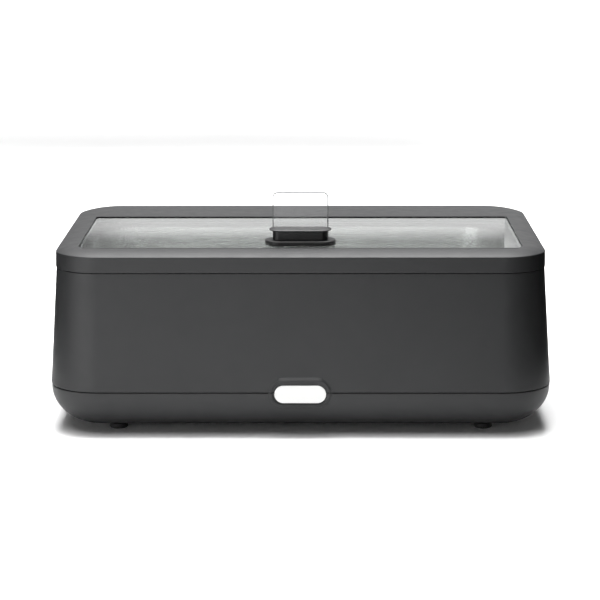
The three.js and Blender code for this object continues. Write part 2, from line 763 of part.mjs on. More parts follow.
// Power switch: a hollow housing with a rocker that tilts about an upright axis.
const switchCollarY = panelFloorY + 1.6;
const rockerPivotY = panelFloorY + 0.4;
const rockerRoomX = ROCKER_LENGTH / 2 + 1.4;
const rockerRoomZ = ROCKER_WIDTH / 2 + GAP;
piece(
  dish,
  'switch_housing',
  block(
    SWITCH_X - SWITCH_WIDTH / 2,
    SWITCH_X + SWITCH_WIDTH / 2,
    switchCollarY - SWITCH_DEPTH,
    panelFloorY + 0.5,
    panelZ - SWITCH_HEIGHT / 2,
    panelZ + SWITCH_HEIGHT / 2,
  )
    .add(
      block(
        SWITCH_X - SWITCH_WIDTH / 2 - COLLAR_WIDTH,
        SWITCH_X + SWITCH_WIDTH / 2 + COLLAR_WIDTH,
        panelFloorY + GAP,
        switchCollarY,
        panelZ - SWITCH_HEIGHT / 2 - COLLAR_WIDTH,
        panelZ + SWITCH_HEIGHT / 2 + COLLAR_WIDTH,
      ),
    )
    .subtract(
      block(
        SWITCH_X - rockerRoomX,
        SWITCH_X + rockerRoomX,
        rockerPivotY - 8,
        switchCollarY + 1,
        panelZ - rockerRoomZ,
        panelZ + rockerRoomZ,
      ),
    ),
  blackSatin,
);
const rockerShape = new THREE.Shape();
const rockerHalf = ROCKER_LENGTH / 2;
rockerShape.moveTo(-rockerHalf, -ROCKER_DEPTH);
rockerShape.lineTo(rockerHalf, -ROCKER_DEPTH);
rockerShape.lineTo(rockerHalf, ROCKER_RISE);
rockerShape.quadraticCurveTo(0, ROCKER_DIP, -rockerHalf, ROCKER_RISE);
const rockerGeometry = new THREE.ExtrudeGeometry(rockerShape, {
  depth: ROCKER_WIDTH,
  bevelEnabled: false,
  curveSegments: 6,
});
rockerGeometry.translate(0, 0, -ROCKER_WIDTH / 2);
rockerGeometry.rotateZ(THREE.MathUtils.degToRad(-ROCKER_TRAVEL / 2));
piece(dish, 'power_rocker', solid(rockerGeometry.translate(SWITCH_X, rockerPivotY, panelZ)), blackSatin);
piece(
  dish,
  'pilot_lens',
  bar(PILOT_RADIUS, PILOT_LENGTH, 'y', PILOT_X, panelBackY - 7, panelZ).add(
    bar(PILOT_RADIUS + PILOT_FLANGE, 1.6, 'y', PILOT_X, panelFloorY + GAP, panelZ),
  ),
  amber,
);

// Mains inlet: a socket with three flat pins, narrow at its lower corners.
const inletRimY = panelFloorY + 2;
const inletBackY = inletRimY - INLET_DEPTH;
const inletFloorY = inletBackY + INLET_FLOOR;
const [pinHalfX, pinHalfZ] = PIN_HALF;
const inletPins = [
  ['live', INLET_X - PIN_SPACING, panelZ - 2],
  ['earth', INLET_X, panelZ + 3],
  ['neutral', INLET_X + PIN_SPACING, panelZ - 2],
];
function mainsInlet() {
  const halfX = INLET_WIDTH / 2;
  const halfZ = INLET_HEIGHT / 2;
  const upright = (growX, growZ, back, front) =>
    block(
      INLET_X - halfX - growX,
      INLET_X + halfX + growX,
      back,
      front,
      panelZ - halfZ - growZ,
      panelZ + halfZ + growZ,
    );
  const body = upright(0, 0, inletBackY, panelFloorY + 0.5);
  const collar = upright(...INLET_COLLAR, panelFloorY + GAP, inletRimY);
  const mouth = new THREE.Shape();
  const x = halfX - INLET_WALL;
  const z = halfZ - INLET_WALL;
  mouth.moveTo(-x, -z + INLET_CHAMFER);
  mouth.lineTo(-x + INLET_CHAMFER, -z);
  mouth.lineTo(x - INLET_CHAMFER, -z);
  mouth.lineTo(x, -z + INLET_CHAMFER);
  mouth.lineTo(x, z);
  mouth.lineTo(-x, z);
  const depth = inletRimY + 1 - inletFloorY;
  const room = new THREE.ExtrudeGeometry(mouth, { depth, bevelEnabled: false });
  room.rotateX(Math.PI / 2).translate(INLET_X, inletRimY + 1, panelZ);
  let socket = body.add(collar).subtract(solid(room));
  for (const [, pinX, pinZ] of inletPins) {
    socket = socket.subtract(
      block(
        pinX - pinHalfX - GAP,
        pinX + pinHalfX + GAP,
        inletBackY - 1,
        inletFloorY + 1,
        pinZ - pinHalfZ - GAP,
        pinZ + pinHalfZ + GAP,
      ),
    );
  }
  return socket;
}
piece(dish, 'mains_inlet', mainsInlet(), blackSatin);
for (const [name, x, z] of inletPins) {
  const pin = block(
    x - pinHalfX,
    x + pinHalfX,
    inletBackY - INLET_TAB,
    inletFloorY + INLET_PIN_LENGTH,
    z - pinHalfZ,
    z + pinHalfZ,
  );
  piece(dish, `inlet_pin_${name}`, pin, brass);
}

// Terminal block on the tray's floor, and the wires
const [blockW, blockD, blockH] = TERMINAL_BLOCK;
const blockY = footY - 30;
const blockBottomZ = FOOT_HEIGHT + WALL + GAP;
const blockTopZ = blockBottomZ + blockH;
const terminalXs = [-1, 0, 1].map((i) => INLET_X + i * TERMINAL_SPACING);
let terminals = block(
  INLET_X - blockW / 2,
  INLET_X + blockW / 2,
  blockY - blockD / 2,
  blockY + blockD / 2,
  blockBottomZ,
  blockTopZ,
);
for (const x of terminalXs) {
  terminals = terminals.subtract(bar(2, 9, 'z', x, blockY, blockTopZ - 8, 10));
}
piece(dish, 'terminal_block', terminals, white);
const wireColours = [copperRed, wireGreen, wireBlue];
inletPins.forEach(([name, x, z], i) => {
  const startY = inletBackY - INLET_TAB - 4 * GAP;
  const route = [
    [x, startY, z],
    [x, startY - 8, z - 3],
    [terminalXs[i], blockY + 6, (z + blockTopZ) / 2],
    [terminalXs[i], blockY, blockTopZ + 8],
    [terminalXs[i], blockY, blockTopZ - 6],
  ];
  piece(dish, `wire_${name}`, tube(WIRE_RADIUS, route, 6, 12), wireColours[i]);
});

// Lid frame: skirt, crowned rim, window opening and the hollows under it.
function lidFrame() {
  const level = (z, inset) => ({
    z,
    halfX: lidX - inset,
    halfY: lidY - inset,
    corner: Math.max(lidCorner - inset, MIN_CORNER),
  });
  const levels = [level(lidSeamZ + SEAM / 2, 0), level(lidEdgeZ, 0.3)];
  for (let i = 1; i <= 4; i += 1) {
    const part = i / 4;
    levels.push(level(lidEdgeZ + CROWN_RISE * (1 - (1 - part) ** 2), 0.3 + (SIDE_RIM - 0.3) * part));
  }
  const cavity = outline(lidX - WALL, lidY - WALL, lidCorner - WALL);
  const seat = outline(
    windowX + PANE_LAP + PANE_SEAL,
    windowHalfY + PANE_LAP + PANE_SEAL,
    WINDOW_CORNER + PANE_LAP + PANE_SEAL,
    0,
    windowY,
  );
  const rearRoomFront = windowRearY + PANE_LAP + PANE_SEAL + WALL;
  const rearRoomBack = lidY - SIDE_RIM - WALL;
  const rearRoom = outline(
    windowX - 2 * WALL,
    (rearRoomBack - rearRoomFront) / 2,
    WINDOW_CORNER,
    0,
    (rearRoomBack + rearRoomFront) / 2,
  );
  const window = outline(windowX, windowHalfY, WINDOW_CORNER, 0, windowY);
  const grooveY = windowFrontY - GROOVE_FROM_WINDOW;
  const grooveX = windowX - WINDOW_CORNER;
  const groove = block(
    -grooveX,
    grooveX,
    grooveY - GROOVE_WIDTH,
    grooveY,
    lidTopZ - GROOVE_DEPTH,
    lidTopZ + 1,
  );
  let frame = loft(levels)
    .subtract(prism(cavity, lidSeamZ - 1, paneBottomZ))
    .subtract(prism(seat, lidSeamZ - 1, paneTopZ + GAP))
    .subtract(prism(rearRoom, lidSeamZ - 1, lidTopZ - WALL))
    .subtract(prism(window, lidSeamZ - 1, lidTopZ + 1))
    .subtract(groove);
  for (const side of [-1, 1]) {
    for (const x of hingeScrewXs(side)) {
      frame = frame.subtract(screwHole('y', x, lidY - SCREW_BORE / 2, leafScrewZ));
    }
  }
  return frame;
}
piece(lid, 'lid_frame', lidFrame(), charcoal);

const handleScrewXs = [-HANDLE_SCREW_SPACING / 2, HANDLE_SCREW_SPACING / 2];
const paneOutline = (extra) =>
  outline(
    windowX + PANE_LAP + extra,
    windowHalfY + PANE_LAP + extra,
    WINDOW_CORNER + PANE_LAP + extra,
    0,
    windowY,
  );
let pane = prism(paneOutline(0), paneBottomZ, paneTopZ);
for (const x of handleScrewXs) {
  pane = pane.subtract(screwHole('z', x, handleY, paneBottomZ - 1, PANE_THICKNESS + 2));
}
piece(lid, 'window_pane', pane, clear);
piece(
  lid,
  'window_seal',
  ring(paneOutline(PANE_SEAL - GAP), paneOutline(GAP), paneBottomZ + GAP, paneTopZ),
  rubber,
);
const retainerOuter = outline(
  windowX + RETAINER_WIDTH,
  windowHalfY + RETAINER_WIDTH,
  WINDOW_CORNER + RETAINER_WIDTH,
  0,
  windowY,
);
const retainerInner = outline(windowX - 2, windowHalfY - 2, WINDOW_CORNER, 0, windowY);
const retainerTop = paneBottomZ - GAP;
piece(
  lid,
  'window_retainer',
  ring(retainerOuter, retainerInner, retainerTop - RETAINER_THICKNESS, retainerTop),
  charcoal,
);
const sealOuterInset = LID_OVERHANG + WALL + 0.5;
piece(
  lid,
  'lid_seal',
  ring(
    outline(lidX - sealOuterInset, lidY - sealOuterInset, lidCorner - sealOuterInset),
    outline(
      lidX - sealOuterInset - SEAL_WIDTH,
      lidY - sealOuterInset - SEAL_WIDTH,
      lidCorner - sealOuterInset - SEAL_WIDTH,
    ),
    lidSeamZ - SEAL_DROP,
    lidSeamZ + 6,
  ),
  silicone,
);

// Handle on the glass, with a slot at its back for the label plate
const flangeZ = paneTopZ + GAP;
const neckZ = flangeZ + FLANGE_HEIGHT;
const neckTopZ = neckZ + NECK_HEIGHT;
const labelY = handleY + FLANGE_DEPTH / 2 - SLOT_WALL - GAP - LABEL_THICKNESS / 2;
const labelBottomZ = flangeZ + SLOT_WALL;
const neckBackY = labelY + LABEL_THICKNESS / 2 + GAP + SLOT_WALL;
const neckY = neckBackY - NECK_DEPTH / 2;
function handleBase() {
  const flange = outline(FLANGE_WIDTH / 2, FLANGE_DEPTH / 2, FLANGE_DEPTH / 2 - 1, 0, handleY);
  const neck = outline(NECK_WIDTH / 2, NECK_DEPTH / 2, 3, 0, neckY);
  const slotHalf = LABEL_THICKNESS / 2 + GAP;
  const slotX = LABEL_WIDTH / 2 + GAP;
  const slot = block(-slotX, slotX, labelY - slotHalf, labelY + slotHalf, labelBottomZ - GAP, neckTopZ + 1);
  let base = prism(flange, flangeZ, neckZ).add(prism(neck, neckZ - 1, neckTopZ, 3)).subtract(slot);
  for (const x of handleScrewXs) {
    base = base.subtract(screwHole('z', x, handleY, flangeZ - 1, FLANGE_HEIGHT + NECK_HEIGHT - 2));
  }
  return base;
}
piece(lid, 'handle_base', handleBase(), blackSatin);
const capFrontY = neckY - NECK_DEPTH / 2 - CAP_OVERHANG;
const capBackY = labelY - LABEL_THICKNESS / 2 - 2 * GAP;
const capHalfY = (capBackY - capFrontY) / 2;
const capShape = outline(CAP_WIDTH / 2, capHalfY, CAP_CORNER, 0, capFrontY + capHalfY);
piece(lid, 'handle_cap', prism(capShape, neckTopZ + GAP, neckTopZ + GAP + CAP_HEIGHT), blackSatin);
const backingTop = paneBottomZ - GAP;
const [backingX, backingY, backingCorner] = HANDLE_BACKING;
const backingShape = outline(backingX, backingY, backingCorner, 0, handleY);
let backing = prism(backingShape, backingTop - BACKING_THICKNESS, backingTop);
for (const x of handleScrewXs) {
  backing = backing.subtract(screwHole('z', x, handleY, backingTop - 3, 4));
}
piece(lid, 'handle_backing', backing, steel);
handleScrewXs.forEach((x, i) => {
  const headZ = backingTop - BACKING_THICKNESS - GAP;
  piece(lid, `handle_screw_${i + 1}`, screw('z', x, handleY, headZ, neckZ + 4 - headZ), steel);
});

// Label plate, which lifts out of its slot
const labelShape = new THREE.Shape();
const labelX = LABEL_WIDTH / 2;
const labelTop = labelBottomZ + LABEL_HEIGHT;
labelShape.moveTo(-labelX, labelBottomZ);
labelShape.lineTo(labelX, labelBottomZ);
labelShape.absarc(labelX - LABEL_CORNER, labelTop - LABEL_CORNER, LABEL_CORNER, 0, Math.PI / 2, false);
labelShape.absarc(-labelX + LABEL_CORNER, labelTop - LABEL_CORNER, LABEL_CORNER, Math.PI / 2, Math.PI, false);
const labelGeometry = new THREE.ExtrudeGeometry(labelShape, {
  depth: LABEL_THICKNESS,
  bevelEnabled: false,
  curveSegments: 8,
});
labelGeometry.rotateX(Math.PI / 2).translate(0, labelY + LABEL_THICKNESS / 2, 0);
piece(lid, 'label_plate', solid(labelGeometry), clear);

// Hinges: a bracket on the body, a leaf on the lid and a pin through their knuckles
function sidePlate(points, x0, x1) {
  const shape = new THREE.Shape(points.map(([y, z]) => new THREE.Vector2(y, z)));
  const geometry = new THREE.ExtrudeGeometry(shape, { depth: x1 - x0, bevelEnabled: false });
  return solid(geometry.rotateX(Math.PI / 2).rotateZ(Math.PI / 2).translate(x0, 0, 0));
}

function hinge(side, name) {
  const centre = side * HINGE_X;
  const x0 = centre - HINGE_WIDTH / 2;
  const x1 = centre + HINGE_WIDTH / 2;
  const bore = bar(HINGE_PIN_RADIUS + RUNNING, HINGE_WIDTH + 2, 'x', x0 - 1, hingeY, hingeZ);
  const knuckle = (from, to) => bar(HINGE_RADIUS, to - from, 'x', from, hingeY, hingeZ);
  const clearance = (from, to) => bar(HINGE_RADIUS + 0.6, to - from, 'x', from, hingeY, hingeZ);
  const plateTop = lidSeamZ - 1.5;
  const plateBottom = plateTop - HINGE_PLATE_LENGTH;
  const inner = (z) => rearFaceY(z) + GAP;
  const bracketPoints = [
    [inner(plateBottom), plateBottom],
    [inner(plateBottom) + HINGE_PLATE, plateBottom],
    [inner(lidSeamZ - 7) + HINGE_PLATE, lidSeamZ - 7],
    [hingeY + HINGE_RADIUS * 0.8, lidSeamZ - HINGE_RADIUS * 0.6],
    [hingeY, lidSeamZ],
    [inner(plateTop), plateTop],
  ];
  let bracket = sidePlate(bracketPoints, x0, x1)
    .add(knuckle(x0, x0 + KNUCKLE_LENGTH))
    .add(knuckle(x1 - KNUCKLE_LENGTH, x1))
    .subtract(clearance(x0 + KNUCKLE_LENGTH, x1 - KNUCKLE_LENGTH))
    .subtract(bore);
  const leafFrom = x0 + KNUCKLE_LENGTH + GAP;
  const leafTo = x1 - KNUCKLE_LENGTH - GAP;
  const leafInner = lidY + GAP;
  const leafTop = lidSeamZ + SKIRT_HEIGHT - 2;
  let leaf = block(x0, x1, leafInner, leafInner + HINGE_PLATE, lidSeamZ + HINGE_RADIUS + 0.8, leafTop)
    .add(block(leafFrom, leafTo, leafInner, leafInner + HINGE_PLATE, lidSeamZ + 1, leafTop))
    .add(knuckle(leafFrom, leafTo))
    .subtract(bore);
  for (const x of hingeScrewXs(side)) {
    bracket = bracket.subtract(screwHole('y', x, bodyTopY, bracketScrewZ));
    leaf = leaf.subtract(screwHole('y', x, lidY, leafScrewZ));
  }
  piece(dish, `hinge_bracket_${name}`, bracket, steel);
  piece(lid, `hinge_leaf_${name}`, leaf, steel);
  piece(dish, `hinge_pin_${name}`, bar(HINGE_PIN_RADIUS, HINGE_WIDTH, 'x', x0, hingeY, hingeZ), steel);
  hingeScrewXs(side).forEach((x, i) => {
    const bracketFace = rearFaceY(bracketScrewZ - SCREW_HEAD) + GAP + HINGE_PLATE + GAP;
    const leafFace = leafInner + HINGE_PLATE + GAP;
    const pointingIn = screw('y', 0, 0, 0, HINGE_SCREW_LENGTH).rotate([0, 0, 180]);
    const bodyScrew = pointingIn.translate([x, bracketFace, bracketScrewZ]);
    const lidScrew = pointingIn.translate([x, leafFace, leafScrewZ]);
    piece(dish, `bracket_screw_${name}_${i + 1}`, bodyScrew, steel);
    piece(lid, `leaf_screw_${name}_${i + 1}`, lidScrew, steel);
  });
}
hinge(-1, 'left');
hinge(1, 'right');

export default dish;
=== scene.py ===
"""Electric chafing dish with a hinged window lid, dressed as its real pieces and finishes.

Every section, size and place is in millimetres until a mesh is made, and every Blender object is in metres, in the
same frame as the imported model: +Z up, +X to the right seen from the front, and the front faces -Y.
"""

import json
import logging
import math
from dataclasses import dataclass, field
from enum import Enum

import bmesh
import bpy
import numpy as np
from mathutils import Matrix, Vector


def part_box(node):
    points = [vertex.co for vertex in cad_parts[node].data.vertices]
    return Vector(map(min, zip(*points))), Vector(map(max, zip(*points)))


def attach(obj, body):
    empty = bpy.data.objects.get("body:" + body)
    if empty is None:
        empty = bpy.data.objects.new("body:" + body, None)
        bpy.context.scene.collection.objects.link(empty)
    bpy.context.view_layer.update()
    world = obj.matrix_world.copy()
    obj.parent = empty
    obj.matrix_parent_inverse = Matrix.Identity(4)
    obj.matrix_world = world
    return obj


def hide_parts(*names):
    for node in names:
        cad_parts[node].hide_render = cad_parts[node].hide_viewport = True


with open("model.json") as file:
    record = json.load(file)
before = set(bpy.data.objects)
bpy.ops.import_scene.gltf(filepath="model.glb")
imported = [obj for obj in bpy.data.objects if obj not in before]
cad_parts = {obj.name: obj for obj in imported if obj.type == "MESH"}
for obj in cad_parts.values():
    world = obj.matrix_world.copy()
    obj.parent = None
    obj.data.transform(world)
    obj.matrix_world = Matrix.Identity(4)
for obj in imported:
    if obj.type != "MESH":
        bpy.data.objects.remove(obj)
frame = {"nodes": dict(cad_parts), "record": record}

MM = 0.001
GAP = 0.3
LOG = logging.getLogger("chafing_dish")


class Body(Enum):
    """The rigid bodies that pieces ride on."""

    ROOT = "root"
    LID = "lid"
    LABEL = "label"
    KNOB = "knob"
    ROCKER = "rocker"


class Slot(Enum):
    """The record's material slots."""

    CASING = "casing"
    BLACK = "black_plastic"
    RUBBER = "rubber"
    SILICONE = "silicone"
    STAINLESS = "stainless"
    STEEL = "steel"
    HINGE = "hinge_black"
    ALUMINIUM = "aluminium"
    BRASS = "brass"
    GLASS = "glass"
    CLEAR = "clear_plastic"
    WHITE = "badge_white"
    AMBER = "amber_lens"
    PHENOLIC = "phenolic"
    RED = "wire_red"
    GREEN = "wire_green"
    BLUE = "wire_blue"


@dataclass(frozen=True)
class Bounds:
    """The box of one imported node, in millimetres."""

    low: np.ndarray
    high: np.ndarray

    @classmethod
    def of(cls, node: str) -> "Bounds":
        """The box of the named node.

        Args:
            node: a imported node's name.

        Returns:
            Its lowest and highest corners in millimetres.
        """
        low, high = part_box(node)
        return cls(np.array(low) / MM, np.array(high) / MM)

    @property
    def centre(self) -> np.ndarray:
        """The middle of the box."""
        return (self.low + self.high) / 2

    @property
    def half(self) -> np.ndarray:
        """Half the box's size along each axis."""
        return (self.high - self.low) / 2


# ---------------------------------------------------------------------------------------------------------------
# Surfaces
# ---------------------------------------------------------------------------------------------------------------

def section(half_x: float, half_y: float, corner: float, z: float, x: float = 0.0, y: float = 0.0) -> list[float]:
    """One rounded-rectangle section.

    Args:
        half_x: half its width.
        half_y: half its depth.
        corner: its corner radius.
        z: its height.
        x: its centre across.
        y: its centre front to back.

    Returns:
        The section as one row of numbers, which stacks of sections are made of.
    """
    return [half_x, half_y, corner, z, x, y]


def soften(rows: list[list[float]], setbacks: dict[int, float], steps: int = 4) -> np.ndarray:
    """Rounds chosen corners of a closed line of sections.

    Each chosen section P becomes the curve (1-s)(1-s)A + 2s(1-s)P + ssB, for s from 0 to 1, where A and B lie on the
    lines to its two neighbours, set back from P.

    Args:
        rows: the sections in order; the last one is followed by the first.
        setbacks: for each section to round, how far A and B lie from it.
        steps: how many spans each curve has.

    Returns:
        The sections with the curves put in.
    """
    stack = np.array(rows, float)
    s = np.linspace(0, 1, steps + 1)[:, None]
    parts = []
    for i, here in enumerate(stack):
        if i not in setbacks:
            parts.append(here[None])
            continue
        ends = []
        for other in (stack[i - 1], stack[(i + 1) % len(stack)]):
            run = math.hypot(*(other - here)[[0, 3]]) or math.hypot(*(other - here)[[1, 3]])
            ends.append(here + (other - here) * min(setbacks[i] / run, 0.49))
        parts.append((1 - s) ** 2 * ends[0] + 2 * s * (1 - s) * here + s**2 * ends[1])
    return np.concatenate(parts)


@dataclass
class Skin:
    """A surface as points in millimetres and faces, before it is a mesh."""

    points: np.ndarray
    faces: list[list[int]]

    @classmethod
    def of_grid(cls, grid: np.ndarray, loop: bool = False, caps: bool = True) -> "Skin":
        """Closes a grid of points round each of its rows into a surface.

        Args:
            grid: rows of points; each row is a closed ring.
            loop: whether the last row joins the first.
            caps: whether the first and last rows are filled, when they are not joined.

        Returns:
            The surface.
        """
        rows, count = grid.shape[:2]
        index = np.arange(rows * count).reshape(rows, count)
        if loop:
            index = np.vstack([index, index[:1]])
        a, d = index[:-1], index[1:]
        quads = np.stack([a, np.roll(a, -1, 1), np.roll(d, -1, 1), d], -1).reshape(-1, 4)
        faces = quads.tolist()
        if caps and not loop:
            faces += [index[0, ::-1].tolist(), index[-1].tolist()]
        return cls(grid.reshape(-1, 3), faces)

    @classmethod
    def of_sections(
        cls, rows: np.ndarray, loop: bool = False, corner_steps: int = 12, side_steps: int = 10
    ) -> "Skin":
        """A surface through a stack of rounded rectangles.

        The point at angle t of a corner is the corner's centre plus its radius times (cos t, sin t), and the points
        of a side lie evenly between the arcs' ends.

        Args:
            rows: the sections, as section() gives them.
            loop: whether the last section joins the first, as round the wall of a shell.
            corner_steps: spans in each quarter circle.
            side_steps: spans along each straight side.

        Returns:
            The surface.
        """
        half_x, half_y, corner, z, x, y = np.asarray(rows, float).T[:, :, None]
        turn = np.linspace(0, math.pi / 2, corner_steps + 1)
        arcs = []
        for quarter, (sign_x, sign_y) in enumerate(((1, 1), (-1, 1), (-1, -1), (1, -1))):
            angle = turn + quarter * math.pi / 2
            across = x + sign_x * (half_x - corner) + corner * np.cos(angle)
            along = y + sign_y * (half_y - corner) + corner * np.sin(angle)
            arcs.append(np.stack([across, along], -1))
        share = np.linspace(0, 1, side_steps + 1)[1:-1][None, :, None]
        parts = []
        for quarter in range(4):
            start, end = arcs[quarter][:, -1:], arcs[(quarter + 1) % 4][:, :1]
            parts += [arcs[quarter], start + (end - start) * share]
        plan = np.concatenate(parts, 1)
        heights = np.broadcast_to(z[..., None], (*plan.shape[:2], 1))
        return cls.of_grid(np.concatenate([plan, heights], -1), loop)

    @classmethod
    def turned(
        cls, profile: list[tuple[float, float]], sides: int = 48, ridges: int = 0, depth: float = 0.0
    ) -> "Skin":
        """A profile turned round the Z axis, with ridges cut into its outer part if asked.

        The point at angle t is (r cos t, r sin t, z), and ridges take depth times (1 - cos(ridges t)) / 2 off r.

        Args:
            profile: radius and height pairs from the bottom's middle to the top's; the ends are filled.
            sides: points in a full turn.
            ridges: how many ridges go round.
            depth: how deep the ridges are.

        Returns:
            The surface.
        """
        radius, height = np.array(profile, float).T[:, :, None]
        turn = np.linspace(0, 2 * math.pi, sides, endpoint=False)[None]
        cut = depth * (1 - np.cos(ridges * turn)) / 2 * (radius > 0.6 * radius.max())
        reach = radius - cut
        heights = np.broadcast_to(height, reach.shape)
        return cls.of_grid(np.stack([reach * np.cos(turn), reach * np.sin(turn), heights], -1))

    def moved(self, x: float = 0.0, y: float = 0.0, z: float = 0.0) -> "Skin":
        """The surface carried by (x, y, z)."""
        return Skin(self.points + np.array([x, y, z]), self.faces)

    def facing_front(self) -> "Skin":
        """The surface turned so that its +Z faces the front, -Y, and its +Y points up."""
        x, y, z = self.points.T
        return Skin(np.stack([x, -z, y], -1), self.faces)

    def facing_back(self) -> "Skin":
        """The surface turned so that its +Z faces the back, +Y, and its +Y points up."""
        x, y, z = self.points.T
        return Skin(np.stack([-x, z, y], -1), self.faces)

    def lying_along_x(self) -> "Skin":
        """The surface turned so that its +Z points along +X."""
        x, y, z = self.points.T
        return Skin(np.stack([z, x, y], -1), self.faces)

    def plus(self, *others: "Skin") -> "Skin":
        """This surface and others as one."""
        points, faces = [self.points], list(self.faces)
        offset = len(self.points)
        for other in others:
            points.append(other.points)
            faces += [[i + offset for i in face] for face in other.faces]
            offset += len(other.points)
        return Skin(np.concatenate(points), faces)

    def mesh_object(self, name: str, sharp: float = 38.0) -> bpy.types.Object:
        """Makes the surface a Blender mesh object with its faces pointing out.

        Args:
            name: the object's name.
            sharp: edges that turn by more than this many degrees stay crisp.

        Returns:
            The new object, at the origin, with its place in its mesh.
        """
        mesh = bpy.data.meshes.new(name)
        mesh.from_pydata((self.points * MM).tolist(), [], self.faces)
        tidy_mesh(mesh, sharp)
        thing = bpy.data.objects.new(name, mesh)
        bpy.context.scene.collection.objects.link(thing)
        return thing


def tidy_mesh(mesh: bpy.types.Mesh, sharp: float) -> None:
    """Merges doubled points, points the faces outwards and smooths all but the sharp edges.

    Args:
        mesh: the mesh to tidy.
        sharp: the least angle of an edge that stays crisp, in degrees.
    """
    work = bmesh.new()
    work.from_mesh(mesh)
    bmesh.ops.remove_doubles(work, verts=work.verts, dist=1e-7)
    bmesh.ops.dissolve_degenerate(work, edges=work.edges, dist=1e-7)
    bmesh.ops.recalc_face_normals(work, faces=work.faces)
    work.to_mesh(mesh)
    work.free()
    mesh.shade_smooth()
    mesh.set_sharp_from_angle(angle=math.radians(sharp))


def combine(thing: bpy.types.Object, tools: list[Skin], operation: str, sharp: float = 38.0) -> None:
    """Joins solids to a mesh or cuts them out of it, and keeps the result as its mesh.

    Args:
        thing: the object whose mesh changes.
        tools: closed surfaces to join or cut with.
        operation: UNION or DIFFERENCE.
        sharp: the least angle of an edge that stays crisp, in degrees.
    """
    helpers = []
    for number, tool in enumerate(tools):
        helper = tool.mesh_object(f"{thing.name}_tool_{number}")
        helpers.append(helper)
        change = thing.modifiers.new("combine", "BOOLEAN")
        change.operation = operation
        change.solver = "EXACT"
        change.object = helper
    bpy.context.view_layer.update()
    graph = bpy.context.evaluated_depsgraph_get()
    result = bpy.data.meshes.new_from_object(thing.evaluated_get(graph))
    thing.modifiers.clear()
    thing.data = result
    tidy_mesh(result, sharp)
    for helper in helpers:
        bpy.data.objects.remove(helper)


def slab(outline: list[float], low: float, high: float, edge: float, steps: int = 4, **fineness: int) -> Skin:
    """A plate with rounded upper and lower edges.

    Args:
        outline: a section at any height that gives the plate's plan.
        low: its underside.
        high: its top.
        edge: the radius of its edges.
        steps: spans in each rounded edge.
        fineness: corner_steps and side_steps of the surface.

    Returns:
        The closed surface.
    """
    half_x, half_y, corner, _, x, y = outline
    rows = []
    for bottom, top, turn in ((low, low + edge, 0), (high - edge, high, 1)):
        for t in np.linspace(0, math.pi / 2, steps + 1):
            inset = edge * (1 - (math.sin(t) if turn == 0 else math.cos(t)))
            z = bottom + edge * (1 - math.cos(t)) if turn == 0 else bottom + (top - bottom) * math.sin(t)
            rows.append(section(half_x - inset, half_y - inset, max(corner - inset, 0.05), z, x, y))
    return Skin.of_sections(np.array(rows), **fineness)


def block(low: tuple[float, float, float], high: tuple[float, float, float], edge: float = 0.3) -> Skin:
    """A box between two corners with slightly rounded edges.

    Args:
        low: its lowest corner.
        high: its highest corner.
        edge: the radius of its edges.

    Returns:
        The closed surface.
    """
    a, b = np.array(low, float), np.array(high, float)
    middle, half = (a + b) / 2, (b - a) / 2
    outline = section(half[0], half[1], edge, 0, middle[0], middle[1])
    return slab(outline, a[2], b[2], edge, 2, corner_steps=2, side_steps=1)


# ---------------------------------------------------------------------------------------------------------------
# Finishes
# ---------------------------------------------------------------------------------------------------------------

